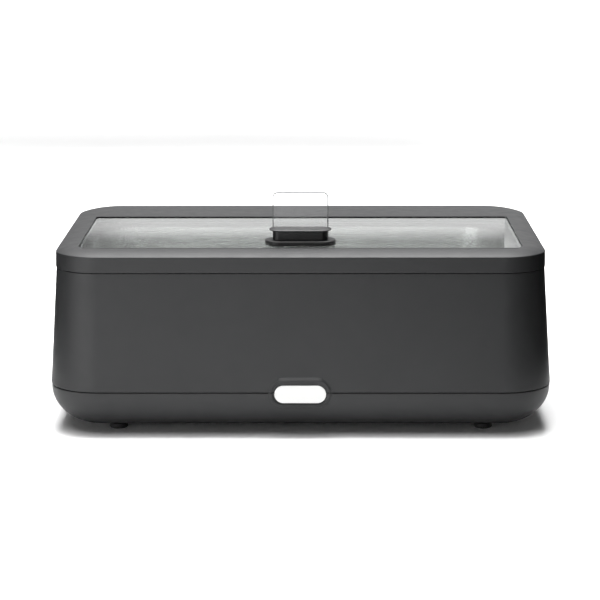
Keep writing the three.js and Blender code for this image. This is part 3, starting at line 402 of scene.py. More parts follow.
class NodeSheet:
    """A material's node tree, with short calls for the nodes that the finishes share."""

    def __init__(self, name: str) -> None:
        """Starts an empty material.

        Args:
            name: the material's name.
        """
        self.material = bpy.data.materials.new(name)
        self.material.use_nodes = True
        self.tree = self.material.node_tree
        self.tree.nodes.clear()
        self.output = self.node("ShaderNodeOutputMaterial")
        self.shader = self.node("ShaderNodeBsdfPrincipled")
        self.link(self.shader.outputs["BSDF"], self.output.inputs["Surface"])
        self.place = self.node("ShaderNodeTexCoord").outputs["Object"]

    def node(self, kind: str, **values: object) -> bpy.types.Node:
        """Adds a node and sets its plain properties."""
        made = self.tree.nodes.new(kind)
        for key, value in values.items():
            setattr(made, key, value)
        return made

    def link(self, source: bpy.types.NodeSocket, target: bpy.types.NodeSocket) -> None:
        """Joins one socket to another."""
        self.tree.links.new(source, target)

    def set(self, **values: object) -> None:
        """Sets the main shader's own sockets; underscores in a name stand for spaces."""
        for key, value in values.items():
            self.shader.inputs[key.replace("_", " ")].default_value = value

    def stretched(self, scale: tuple[float, float, float]) -> bpy.types.NodeSocket:
        """The place on the object, scaled along each axis.

        Args:
            scale: the three scales.

        Returns:
            The scaled place's socket.
        """
        mapping = self.node("ShaderNodeMapping")
        mapping.inputs["Scale"].default_value = scale
        self.link(self.place, mapping.inputs["Vector"])
        return mapping.outputs["Vector"]

    def noise(
        self, scale: float, detail: float = 3.0, rough: float = 0.5, place: bpy.types.NodeSocket | None = None
    ) -> bpy.types.NodeSocket:
        """A noise pattern's value, between 0 and 1.

        Args:
            scale: how many features fit in a metre.
            detail: how many finer layers it has.
            rough: how strong the finer layers are.
            place: the coordinates to read, or None for the object's own.

        Returns:
            The value's socket.
        """
        made = self.node("ShaderNodeTexNoise")
        made.inputs["Scale"].default_value = scale
        made.inputs["Detail"].default_value = detail
        made.inputs["Roughness"].default_value = rough
        self.link(place or self.place, made.inputs["Vector"])
        return made.outputs["Fac"]

    def ranged(self, value: bpy.types.NodeSocket, low: float, high: float) -> bpy.types.NodeSocket:
        """A value from about 0.3 to 0.7, as noise gives it, carried to another range.

        Args:
            value: the value's socket.
            low: what 0.3 becomes.
            high: what 0.7 becomes.

        Returns:
            The new value's socket.
        """
        made = self.node("ShaderNodeMapRange")
        made.inputs["From Min"].default_value = 0.3
        made.inputs["From Max"].default_value = 0.7
        made.inputs["To Min"].default_value = low
        made.inputs["To Max"].default_value = high
        self.link(value, made.inputs["Value"])
        return made.outputs["Result"]

    def tint(self, value: bpy.types.NodeSocket, dark: tuple, light: tuple) -> None:
        """Colours the main shader between two colours by a value.

        Args:
            value: where between the colours, from 0 to 1.
            dark: the colour at 0.
            light: the colour at 1.
        """
        mix = self.node("ShaderNodeMix", data_type="RGBA")
        mix.inputs["A"].default_value = (*dark, 1)
        mix.inputs["B"].default_value = (*light, 1)
        self.link(value, mix.inputs["Factor"])
        self.link(mix.outputs["Result"], self.shader.inputs["Base Color"])

    def bump(self, *layers: tuple[bpy.types.NodeSocket, float]) -> None:
        """Raises the surface by one or more height patterns.

        Args:
            layers: pairs of a pattern and its height in metres, the coarsest first.
        """
        normal = None
        for height, distance in layers:
            made = self.node("ShaderNodeBump")
            made.inputs["Distance"].default_value = distance
            made.inputs["Strength"].default_value = 1.0
            self.link(height, made.inputs["Height"])
            if normal is not None:
                self.link(normal, made.inputs["Normal"])
            normal = made.outputs["Normal"]
        self.link(normal, self.shader.inputs["Normal"])


@dataclass(frozen=True)
class Moulded:
    """Moulded plastic or rubber: spark-eroded grain, a slight mottle and uneven gloss."""

    name: str
    colour: tuple[float, float, float]
    roughness: float
    grain: float = 900.0  # features in a metre
    height: float = 0.00001
    spread: float = 0.05  # how far gloss varies
    mottle: float = 0.12  # how far colour varies, as a share
    level: float = 0.5

    def build(self) -> bpy.types.Material:
        """Makes the material."""
        sheet = NodeSheet(self.name)
        sheet.set(Specular_IOR_Level=self.level)
        cloud = sheet.ranged(sheet.noise(14.0, 4.0, 0.6), 0.0, 1.0)
        dark = tuple(c * (1 - self.mottle / 2) for c in self.colour)
        light = tuple(c * (1 + self.mottle / 2) for c in self.colour)
        sheet.tint(cloud, dark, light)
        pits = sheet.noise(self.grain, 2.0, 0.55)
        flow = sheet.noise(60.0, 3.0, 0.5)
        sheet.link(
            sheet.ranged(flow, self.roughness - self.spread, self.roughness + self.spread),
            sheet.shader.inputs["Roughness"],
        )
        sheet.bump((flow, self.height * 2), (pits, self.height))
        return sheet.material


@dataclass(frozen=True)
class Brushed:
    """Sheet or turned metal with fine lines along one axis and soft rolling marks."""

    name: str
    colour: tuple[float, float, float]
    roughness: float
    lines: tuple[float, float, float] = (12.0, 900.0, 900.0)
    height: float = 0.000003
    spread: float = 0.07

    def build(self) -> bpy.types.Material:
        """Makes the material."""
        sheet = NodeSheet(self.name)
        sheet.set(Metallic=1.0)
        lines = sheet.noise(1.0, 3.0, 0.6, sheet.stretched(self.lines))
        rolled = sheet.noise(9.0, 2.0, 0.5)
        sheet.tint(
            sheet.ranged(rolled, 0.0, 1.0),
            tuple(c * 0.94 for c in self.colour),
            tuple(min(c * 1.05, 1.0) for c in self.colour),
        )
        sheet.link(
            sheet.ranged(lines, self.roughness - self.spread, self.roughness + self.spread),
            sheet.shader.inputs["Roughness"],
        )
        sheet.bump((rolled, self.height * 12), (lines, self.height))
        return sheet.material


@dataclass(frozen=True)
class ClearSheet:
    """A clear glass or acrylic sheet: faint tint, slight polish marks, and lamps reach what is behind it."""

    name: str
    colour: tuple[float, float, float]
    roughness: float
    ior: float

    def build(self) -> bpy.types.Material:
        """Makes the material."""
        sheet = NodeSheet(self.name)
        sheet.set(Transmission_Weight=1.0, IOR=self.ior, Base_Color=(*self.colour, 1))
        marks = sheet.noise(35.0, 4.0, 0.6)
        sheet.link(sheet.ranged(marks, self.roughness * 0.5, self.roughness * 1.5), sheet.shader.inputs["Roughness"])
        passing = sheet.node("ShaderNodeBsdfTransparent")
        passing.inputs["Color"].default_value = (*self.colour, 1)
        mix = sheet.node("ShaderNodeMixShader")
        path = sheet.node("ShaderNodeLightPath")
        sheet.link(path.outputs["Is Shadow Ray"], mix.inputs["Fac"])
        sheet.link(sheet.shader.outputs["BSDF"], mix.inputs[1])
        sheet.link(passing.outputs["BSDF"], mix.inputs[2])
        sheet.link(mix.outputs["Shader"], sheet.output.inputs["Surface"])
        return sheet.material


FINISHES = {
    Slot.CASING: Moulded("charcoal_casing", (0.019, 0.0193, 0.020), 0.5, 700.0, 0.000012, 0.04, 0.08, 0.27),
    Slot.BLACK: Moulded("satin_black", (0.012, 0.012, 0.0125), 0.4, 1100.0, 0.000004, 0.05, 0.1, 0.3),
    Slot.RUBBER: Moulded("foot_rubber", (0.012, 0.012, 0.012), 0.72, 500.0, 0.00003, 0.08, 0.3, 0.3),
    Slot.SILICONE: Moulded("grey_silicone", (0.25, 0.26, 0.26), 0.6, 300.0, 0.00002, 0.06, 0.1, 0.4),
    Slot.STAINLESS: Brushed("stainless_pan", (0.72, 0.72, 0.71), 0.27, height=0.0000006, spread=0.03),
    Slot.STEEL: Brushed("zinc_plate", (0.5, 0.51, 0.53), 0.32, (300.0, 300.0, 300.0)),
    Slot.HINGE: Moulded("hinge_powder_coat", (0.018, 0.018, 0.019), 0.5, 1600.0, 0.00002, 0.06),
    Slot.ALUMINIUM: Brushed("rolled_aluminium", (0.66, 0.67, 0.68), 0.38, (900.0, 10.0, 900.0)),
    Slot.BRASS: Brushed("brass", (0.62, 0.47, 0.24), 0.3, (500.0, 20.0, 500.0)),
    Slot.GLASS: ClearSheet("window_glass", (0.93, 0.955, 0.945), 0.01, 1.5),
    Slot.CLEAR: ClearSheet("label_acrylic", (0.965, 0.97, 0.97), 0.012, 1.3),
    Slot.WHITE: Moulded("badge_white", (0.6, 0.6, 0.595), 0.35, 800.0, 0.000003, 0.04, 0.02),
    Slot.AMBER: ClearSheet("amber_lens", (0.85, 0.3, 0.04), 0.2, 1.45),
    Slot.PHENOLIC: Moulded("brown_resin", (0.07, 0.045, 0.03), 0.5, 400.0, 0.00003, 0.08, 0.35),
    Slot.RED: Moulded("red_insulation", (0.35, 0.03, 0.02), 0.4, 300.0, 0.00001),
    Slot.GREEN: Moulded("green_insulation", (0.08, 0.28, 0.05), 0.4, 300.0, 0.00001),
    Slot.BLUE: Moulded("blue_insulation", (0.03, 0.1, 0.35), 0.4, 300.0, 0.00001),
}

# Matt edge of the label plate: its dark grey is painted shade, standing in for the dark line that light makes along a
# clear edge.
MATT_EDGE_PAINTED_SHADE = Moulded("matt_edge_painted_shade", (0.13, 0.132, 0.132), 0.55, 2500.0, 0.00001, 0.05, 0.1, 0.3)


@dataclass
class Workshop:
    """Makes each finish once, and turns surfaces into finished pieces."""

    made: dict[Slot, bpy.types.Material] = field(default_factory=dict)

    def finish(self, slot: Slot) -> bpy.types.Material:
        """The material of a slot."""
        if slot not in self.made:
            self.made[slot] = FINISHES[slot].build()
        return self.made[slot]

    def dress(self, thing: bpy.types.Object, slot: Slot) -> None:
        """Gives an object its slot's material."""
        thing.data.materials.clear()
        thing.data.materials.append(self.finish(slot))

    def settle(self, thing: bpy.types.Object, slot: Slot, body: Body, *nodes: str) -> bpy.types.Object:
        """Finishes a piece: its material, the body that it rides on and the nodes it stands for.

        Args:
            thing: the piece.
            slot: its material slot.
            body: the body that it rides on.
            nodes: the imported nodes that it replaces.

        Returns:
            The piece.
        """
        self.dress(thing, slot)
        weighted = thing.modifiers.new("flat_faces", "WEIGHTED_NORMAL")
        weighted.keep_sharp = True
        weighted.weight = 80
        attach(thing, body.value)
        if nodes:
            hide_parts(*nodes)
        LOG.info("%s: %d faces, rides on %s", thing.name, len(thing.data.polygons), body.value)
        return thing


# ---------------------------------------------------------------------------------------------------------------
# Casing
# ---------------------------------------------------------------------------------------------------------------

@dataclass
class Casing:
    """The base tray and the drafted body above it, with the badge on the seam between them."""

    shop: Workshop
    wall: float = 3.2
    top_corner: float = 51.8
    draft: float = 9.2
    lip: float = 0.9  # rounding of the shells' edges at the seams
    round_in: float = 56.0
    round_up: float = 45.6
    ledge_reach: float = 15.5  # how far the water pan's ledge runs in from the wall
    ledge_height: float = 4.0
    ledge_corner: float = 30.0
    panel_lap: float = 4.0  # how far the control panel's flange reaches behind the wall
    panel_corner: float = 5.2
    boss_half: tuple[float, float] = (37.3, 18.25)
    boss_back: float = 12.0
    bevel: float = 3.6  # how far the bevel round the badge runs in
    bevel_drop: float = 3.0
    crest_width: float = 2.2
    dish_width: float = 5.0
    dish: float = 1.3  # how deep the face inside the crest lies
    seat_depth: float = 1.9
    seat_ring: float = 0.9  # open ring round the badge plate

    def __post_init__(self) -> None:
        """Reads the shells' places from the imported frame."""
        self.tray = Bounds.of("base_tray")
        self.shell = Bounds.of("body_shell")
        self.lid = Bounds.of("lid_frame")
        self.plate = Bounds.of("badge_plate")
        self.panel = Bounds.of("control_panel")

    def at(self, z: float, inset: float) -> list[float]:
        """The body's section at a height.

        Args:
            z: the height.
            inset: how far it is moved in from the body's face.

        Returns:
            The section.
        """
        rise = (self.shell.high[2] - z) / (self.shell.high[2] - self.shell.low[2])
        out = self.draft * rise
        half_x = self.shell.half[0] - self.draft
        half_y = self.shell.high[1] - self.draft
        return section(half_x + out - inset, half_y + out - inset, self.top_corner + out - inset, z)

    def boss(self, low: float, high: float) -> Skin:
        """The raised stadium round the badge, cut off below low and above high.

        A bevel runs in and forward from its outer edge to a crest, and the face inside the crest is dished.

        Args:
            low: where its lower part is cut off.
            high: where its upper part is cut off.

        Returns:
            The closed surface.
        """
        front = -self.tray.low[1]
        half_x, half_z = self.boss_half
        centre = (self.tray.high[2] + self.shell.low[2]) / 2

        def edge(inset: float, drop: float) -> list[float]:
            """The stadium's section, moved in by inset and back from its front by drop."""
            return section(half_x - inset, half_z - inset, half_z - 0.1 - inset, front - drop, 0, centre)

        rows = [
            edge(0, self.boss_back),
            edge(0, self.bevel_drop),
            edge(self.bevel, 0),
            edge(self.bevel + self.crest_width, self.dish),
            edge(self.bevel + self.dish_width, self.dish),
        ]
        rounded = soften(rows, {1: 0.5, 2: 0.45, 3: 0.5}, 4)
        whole = Skin.of_sections(rounded, corner_steps=14, side_steps=6).facing_front()
        keep = np.clip(whole.points[:, 2], low, high)
        return Skin(np.column_stack([whole.points[:, :2], keep]), whole.faces)

    def badge_seat(self, grow: float, front: float, depth: float) -> Skin:
        """The pocket that the badge sits in.

        Args:
            grow: how far it is grown past the badge on all sides.
            front: how far forward the boss reaches.
            depth: how deep the pocket is cut behind that.

        Returns:
            The closed surface.
        """
        half_x, half_z = self.plate.half[0] + grow, self.plate.half[2] + grow
        outline = section(half_x, half_z, half_z - 0.05, 0, 0, self.plate.centre[2])
        return slab(outline, front - depth, front + 4, 0.2, 2, corner_steps=14, side_steps=4).facing_front()

    def build_tray(self) -> None:
        """The lower casing, whose edge is a quarter ellipse running in under it."""
        low, top = Bounds.of("foot_front_left").high[2] + GAP, self.tray.high[2]
        half_x, half_y = self.tray.half[0], self.tray.high[1]
        corner = self.top_corner + self.draft - 0.6

        def bowl(inset: float, floor: float) -> list[list[float]]:
            """The sections of the rounded underside, moved in by inset, with its lowest at floor."""
            rows = []
            for t in np.linspace(0, math.pi / 2, 18):
                into = inset + self.round_in * (1 - math.sin(t))
                z = floor + (self.round_up - (floor - low)) * (1 - math.cos(t))
                rows.append(section(half_x - into, half_y - into, max(corner - into, 4.0), z))
            return rows

        outside = bowl(0.0, low)
        inside = bowl(self.wall, low + self.wall)
        edge = [
            section(half_x, half_y, corner, top - self.lip),
            section(half_x - self.lip, half_y - self.lip, corner - self.lip, top),
            section(half_x - self.wall, half_y - self.wall, corner - self.wall, top),
        ]
        rim = soften([outside[-1], *edge, inside[-1]], {1: 0.5, 2: 0.5}, 2)
        rows = np.concatenate([outside[:-1], rim, inside[-2::-1]])
        tray = Skin.of_sections(rows, corner_steps=18, side_steps=12).mesh_object("tray")
        combine(tray, [self.boss(low, top)], "UNION")
        combine(tray, [self.badge_seat(self.seat_ring, -self.tray.low[1], self.seat_depth)], "DIFFERENCE")
        self.shop.settle(tray, Slot.CASING, Body.ROOT, "base_tray")

    def build_shell(self) -> None:
        """The upper casing: two drafted walls, a rounded lip at each end and the ledge that carries the water pan."""
        low, top = self.shell.low[2], self.shell.high[2]
        seal = Bounds.of("water_pan_seal")
        ledge = seal.low[2] - GAP
        ledge_in = self.wall + self.ledge_reach
        loop = [
            self.at(low, 0.0),
            self.at(top, 0.0),
            self.at(top, self.wall),
            self.at(ledge, self.wall),
            self.at(ledge, ledge_in),
            self.at(ledge - self.ledge_height, ledge_in),
            self.at(ledge - self.ledge_height, self.wall),
            self.at(low, self.wall),
        ]
        for row in (loop[4], loop[5]):
            row[2] = max(row[2], self.ledge_corner)
        rows = soften(loop, {0: self.lip, 1: self.lip, 2: 0.6, 3: 0.6, 4: 0.6, 5: 0.6}, 4)
        shell = Skin.of_sections(rows, loop=True, corner_steps=18, side_steps=12).mesh_object("body")
        combine(shell, [self.boss(low, top)], "UNION")
        half_x, half_z = self.panel.half[0] - self.panel_lap + GAP, self.panel.half[2] - self.panel_lap + GAP
        window = section(half_x, half_z, self.panel_corner, 0, 0, self.panel.centre[2])
        opening = slab(window, self.panel.low[1] - 2, self.shell.high[1] + 6, 0.2, 2, corner_steps=6, side_steps=4)
        seat = self.badge_seat(self.seat_ring, -self.tray.low[1], self.seat_depth)
        combine(shell, [seat, opening.facing_back()], "DIFFERENCE")
        self.shop.settle(shell, Slot.CASING, Body.ROOT, "body_shell")

    def build_badge(self) -> None:
        """The blank white plate, with a softly rounded rim."""
        half_x, half_z = self.plate.half[0], self.plate.half[2]
        outline = section(half_x, half_z, half_z - 0.05, 0, 0, self.plate.centre[2])
        front, back = -self.plate.low[1], -self.plate.high[1]
        plate = slab(outline, back, front, 0.45, 4, corner_steps=16, side_steps=6).facing_front()
        self.shop.settle(plate.mesh_object("badge"), Slot.WHITE, Body.ROOT, "badge_plate")

    def build_feet(self) -> None:
        """Four rubber feet with a rounded tread and a counterbore for the screw."""
        for corner in ("front_left", "front_right", "rear_left", "rear_right"):
            box = Bounds.of(f"foot_{corner}")
            radius, top = box.half[0], box.high[2]
            profile = [(2.4, 4.0), (4.4, 4.0), (4.9, 0.5), (5.3, 0.0), (radius - 1.4, 0.0)]
            profile += [
                (radius - 1.4 + 1.4 * math.sin(t), 1.4 - 1.4 * math.cos(t)) for t in np.linspace(0.3, math.pi / 2, 5)
            ]
            profile += [(radius - 0.4, top - 0.5), (radius - 0.9, top), (2.4, top)]
            rings = np.array([section(r, r, r, z) for r, z in profile])
            foot = Skin.of_sections(rings, loop=True, corner_steps=12, side_steps=1).moved(*box.centre[:2])
            self.shop.settle(foot.mesh_object(f"rubber_foot_{corner}"), Slot.RUBBER, Body.ROOT, f"foot_{corner}")

    def build(self) -> None:
        """All of the casing's pieces."""
        self.build_tray()
        self.build_shell()
        self.build_badge()
        self.build_feet()


# ---------------------------------------------------------------------------------------------------------------
# Lid
# ---------------------------------------------------------------------------------------------------------------

@dataclass
class Lid:
    """The crowned frame, its window, the handle on the glass and the label plate."""

    shop: Workshop
    corner: float = 52.5
    wall: float = 3.2
    crown_rise: float = 5.0
    crown_width: float = 26.0
    window_corner: float = 6.0
    pane_lap: float = 8.0
    seal: float = 3.0
    edge: float = 0.7
    groove_setback: float = 6.5  # from the window's front edge
    groove_depth: float = 0.6
    flange_height: float = 6.5
    flange_half: float = 18.0
    flange_corner: float = 17.0
    neck_half: tuple[float, float] = (32.0, 14.0)
    neck_corner: float = 7.0
    label_corner: float = 6.0
    label_border: float = 1.25  # width of the label plate's matt edge band, whose dark grey is painted shade

    def __post_init__(self) -> None:
        """Reads the lid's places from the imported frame."""
        self.box = Bounds.of("lid_frame")
        self.pane = Bounds.of("window_pane")
        self.retainer = Bounds.of("window_retainer")

    def window(self, grow: float, z: float) -> list[float]:
        """The window opening's section.

        Args:
            grow: how far it is grown on all sides.
            z: its height.

        Returns:
            The section.
        """
        half_x = self.pane.half[0] - self.pane_lap + grow
        half_y = self.pane.half[1] - self.pane_lap + grow
        return section(half_x, half_y, max(self.window_corner + grow, 1.0), z, 0, self.pane.centre[1])

    def plan(self, inset: float, z: float) -> list[float]:
        """The lid's own section at height z, moved in by inset."""
        return section(self.box.half[0] - inset, self.box.half[1] - inset, max(self.corner - inset, 4.0), z)

    def build_frame(self) -> None:
        """The frame: skirt, crowned rim, flat top, window edge and the seat under it.

        The crown rises by crown_rise times (1 - (1 - p)(1 - p)) over crown_width, for p from 0 at the outer edge
        to 1 at its inner edge.
        """
        low, top = self.box.low[2], self.box.high[2]
        outer = top - self.crown_rise
        crown = []
        for p in np.linspace(0, 1, 14):
            crown.append(self.plan(0.3 + self.crown_width * p, outer + self.crown_rise * (1 - (1 - p) ** 2)))
        seat = self.pane.high[2] + GAP
        under = self.pane.low[2]
        grow = self.pane_lap + self.seal
        loop = [
            self.plan(0.0, low),
            *crown,
            self.window(0.0, top),
            self.window(0.0, seat),
            self.window(grow, seat),
            self.window(grow, under),
            self.plan(self.wall, under),
            self.plan(self.wall, low),
        ]
        last = len(crown)
        rounds = {0: 0.5, 1: 0.7, last + 1: self.edge, last + 2: 0.3, last + 6: 0.4}
        rows = soften(loop, rounds, 4)
        frame_piece = Skin.of_sections(rows, loop=True, corner_steps=18, side_steps=12).mesh_object("lid_rim")
        half_x = self.pane.half[0] - self.pane_lap - self.window_corner
        line_y = self.pane.low[1] + self.pane_lap - self.groove_setback
        groove = section(half_x, 0.6, 0.55, 0, 0, line_y - 0.6)
        cut = slab(groove, top - self.groove_depth, top + 1.0, 0.2, 2, corner_steps=4, side_steps=8)
        combine(frame_piece, [cut], "DIFFERENCE")
        self.shop.settle(frame_piece, Slot.CASING, Body.LID, "lid_frame")

    def build_window(self) -> None:
        """The glass with ground edges and the retainer under it."""
        half = self.pane.half
        outline = section(half[0], half[1], self.window_corner + self.pane_lap, 0, 0, self.pane.centre[1])
        pane = slab(outline, self.pane.low[2], self.pane.high[2], 0.5, 3, corner_steps=8, side_steps=4)
        self.shop.settle(pane.mesh_object("window_glass"), Slot.GLASS, Body.LID, "window_pane")
        low, high = self.retainer.low[2], self.retainer.high[2]
        loop = [self.window(-2, low), self.window(-2, high), self.window(15, high), self.window(15, low)]
        rows = soften(loop, {0: 0.8, 1: 0.4, 2: 0.4, 3: 0.8}, 3)
        ring = Skin.of_sections(rows, loop=True, corner_steps=8, side_steps=8).mesh_object("glass_retainer")
        self.shop.settle(ring, Slot.CASING, Body.LID, "window_retainer")

    def build_seal(self) -> None:
        """The soft seal under the rim, with a rounded lip that meets the body."""
        box = Bounds.of("lid_seal")
        first = self.box.high[0] - box.high[0]
        low, high = box.low[2], box.high[2]
        loop = [self.plan(first, high), self.plan(first + 3, high), self.plan(first + 3, low), self.plan(first, low)]
        rows = soften(loop, {0: 0.4, 1: 0.4, 2: 1.4, 3: 1.4}, 5)
        ring = Skin.of_sections(rows, loop=True, corner_steps=14, side_steps=10).mesh_object("lid_gasket")
        self.shop.settle(ring, Slot.SILICONE, Body.LID, "lid_seal")

    def build_handle(self) -> None:
        """The flange and neck with the label slot, and the thin cap over them."""
        base, cap = Bounds.of("handle_base"), Bounds.of("handle_cap")
        label = Bounds.of("label_plate")
        backing = Bounds.of("handle_backing")
        flange_y, foot = backing.centre[1], base.low[2]
        foot_plan = section(base.half[0], self.flange_half, self.flange_corner, 0, 0, flange_y)
        flange = slab(foot_plan, foot, foot + self.flange_height, 1.5, 6, corner_steps=14, side_steps=6)
        neck_x, neck_y = self.neck_half
        neck_plan = section(neck_x, neck_y, self.neck_corner, 0, 0, flange_y + self.flange_half - neck_y)
        neck = slab(neck_plan, foot + 2, base.high[2], 0.3, 2, corner_steps=10, side_steps=6)
        handle = flange.mesh_object("handle_grip")
        combine(handle, [neck], "UNION")
        slot = block(
            (label.low[0] - GAP, label.low[1] - GAP, label.low[2] - GAP),
            (label.high[0] + GAP, label.high[1] + GAP, base.high[2] + 3),
            0.1,
        )
        combine(handle, [slot], "DIFFERENCE")
        self.shop.settle(handle, Slot.BLACK, Body.LID, "handle_base")

        def outline(inset: float, z: float) -> list[float]:
            """The cap's section at height z, moved in by inset."""
            return section(cap.half[0] - inset, cap.half[1] - inset, cap.half[1] - 2.5 - inset, z, 0, cap.centre[1])

        low, high = cap.low[2], cap.high[2]
        rows = [outline(3.4, low), outline(0.0, low + 1.5), outline(0.0, high - 0.6), outline(1.3, high)]
        shape = soften(rows, {0: 0.3, 1: 0.5, 2: 0.4, 3: 0.6}, 4)
        top = Skin.of_sections(shape, corner_steps=14, side_steps=8)
        self.shop.settle(top.mesh_object("handle_top"), Slot.BLACK, Body.LID, "handle_cap")

    def build_label(self) -> None:
        """The clear plate with round corners and a matt edge, coloured dark grey as painted shade.

        Only its two broad faces are clear, so every face of less than half the largest area takes the matt finish
        with its painted shade.
        """
        box = Bounds.of("label_plate")
        back, front = -box.high[1], -box.low[1]

        def outline(inset: float, depth: float) -> list[float]:
            """The plate's section at a distance forward, moved in by inset."""
            corner = self.label_corner - inset
            return section(box.half[0] - inset, box.half[2] - inset, corner, depth, 0, box.centre[2])

        border = self.label_border
        rows = [outline(border, back), outline(0.0, back), outline(0.0, front), outline(border, front)]
        shape = soften(rows, {1: 0.4, 2: 0.4}, 3)
        plate = Skin.of_sections(shape, corner_steps=10, side_steps=6).facing_front()
        sheet = plate.mesh_object("label_sheet")
        self.shop.settle(sheet, Slot.CLEAR, Body.LABEL, "label_plate")
        # The small faces take the matt edge finish, whose dark grey is painted shade.
        sheet.data.materials.append(MATT_EDGE_PAINTED_SHADE.build())
        sizes = np.empty(len(sheet.data.polygons))
        sheet.data.polygons.foreach_get("area", sizes)
        sheet.data.polygons.foreach_set("material_index", (sizes < sizes.max() / 2).astype(np.int32))

    def build(self) -> None:
        """All of the lid's pieces."""
        self.build_frame()
        self.build_window()
        self.build_seal()
        self.build_handle()
        self.build_label()


# ---------------------------------------------------------------------------------------------------------------
# Pans
# ---------------------------------------------------------------------------------------------------------------

@dataclass
class Pans:
    """The deep-drawn water pan and the food pan that rests on its flange."""

    shop: Workshop
    sheet: float = 1.0
    taper: float = 8.0
    corner: float = 57.0
    floor_round: float = 12.0
    rim_round: float = 2.2

    def drawn(self, box: Bounds, rim: float, flange: float, flange_corner: float, upstand: float) -> np.ndarray:
        """A drawn pan's wall as a closed line of sections.

        Args:
            box: the pan's own box.
            rim: height of the flange's underside.
            flange: the flange's width.
            flange_corner: its outer corner radius.
            upstand: height of the turned-up edge, or 0 for a flat one.

        Returns:
            The sections, round the outside of the sheet and back along its inside.
        """
        floor = box.low[2]

        def side(offset: float) -> list[list[float]]:
            """The wall's sections from the floor up, moved into the pan by offset."""
            rows = []
            for t in np.linspace(0, math.pi / 2, 9):
                into = flange + offset + self.taper + self.floor_round * (1 - math.sin(t))
                z = floor + offset + self.floor_round * (1 - math.cos(t))
                rows.append(self.ring(box, into, self.corner + flange - into, z))
            return rows

        below, above = rim, rim + self.sheet
        outside = [*side(0.0), self.ring(box, flange, self.corner, below)]
        inside = [*side(self.sheet), self.ring(box, flange + self.sheet, self.corner - self.sheet, above)]
        if upstand:
            edge = [
                self.ring(box, 0, flange_corner, below),
                self.ring(box, 0, flange_corner, above + upstand - self.sheet),
                self.ring(box, self.sheet, flange_corner - self.sheet, above + upstand - self.sheet),
                self.ring(box, self.sheet, flange_corner - self.sheet, above),
            ]
            rounds = {0: 1.2, 1: 0.4, 2: 0.4, 3: 1.0}
        else:
            edge = [
                self.ring(box, 0, flange_corner, below),
                self.ring(box, 0, flange_corner, above),
            ]
            rounds = {0: 0.45, 1: 0.45}
        outer_count = len(outside)
        line = [*outside, *edge, *inside[::-1]]
        marks = {outer_count - 1: self.rim_round, outer_count + len(edge): self.rim_round}
        marks.update({outer_count + i: r for i, r in rounds.items()})
        return soften(line, marks, 5)

    @staticmethod
    def ring(box: Bounds, inset: float, corner: float, z: float) -> list[float]:
        """A section of a pan, moved in from its box."""
        return section(box.half[0] - inset, box.half[1] - inset, max(corner, 5.0), z)

    def build(self) -> None:
        """Both pans."""
        seal = Bounds.of("water_pan_seal")
        water, food = Bounds.of("water_pan"), Bounds.of("food_pan")
        water_rim = seal.high[2] + GAP
        bath = self.drawn(water, water_rim, 14.9, 44.2, 3.0)
        outer = Skin.of_sections(bath, corner_steps=16, side_steps=10).mesh_object("water_bath")
        self.shop.settle(outer, Slot.STAINLESS, Body.ROOT, "water_pan")
        tray = self.drawn(food, food.high[2] - self.sheet, 11.0, 28.0, 0.0)
        inner = Skin.of_sections(tray, corner_steps=16, side_steps=10).mesh_object("food_tray")
        self.shop.settle(inner, Slot.STAINLESS, Body.ROOT, "food_pan")


# ---------------------------------------------------------------------------------------------------------------
# Controls
# ---------------------------------------------------------------------------------------------------------------

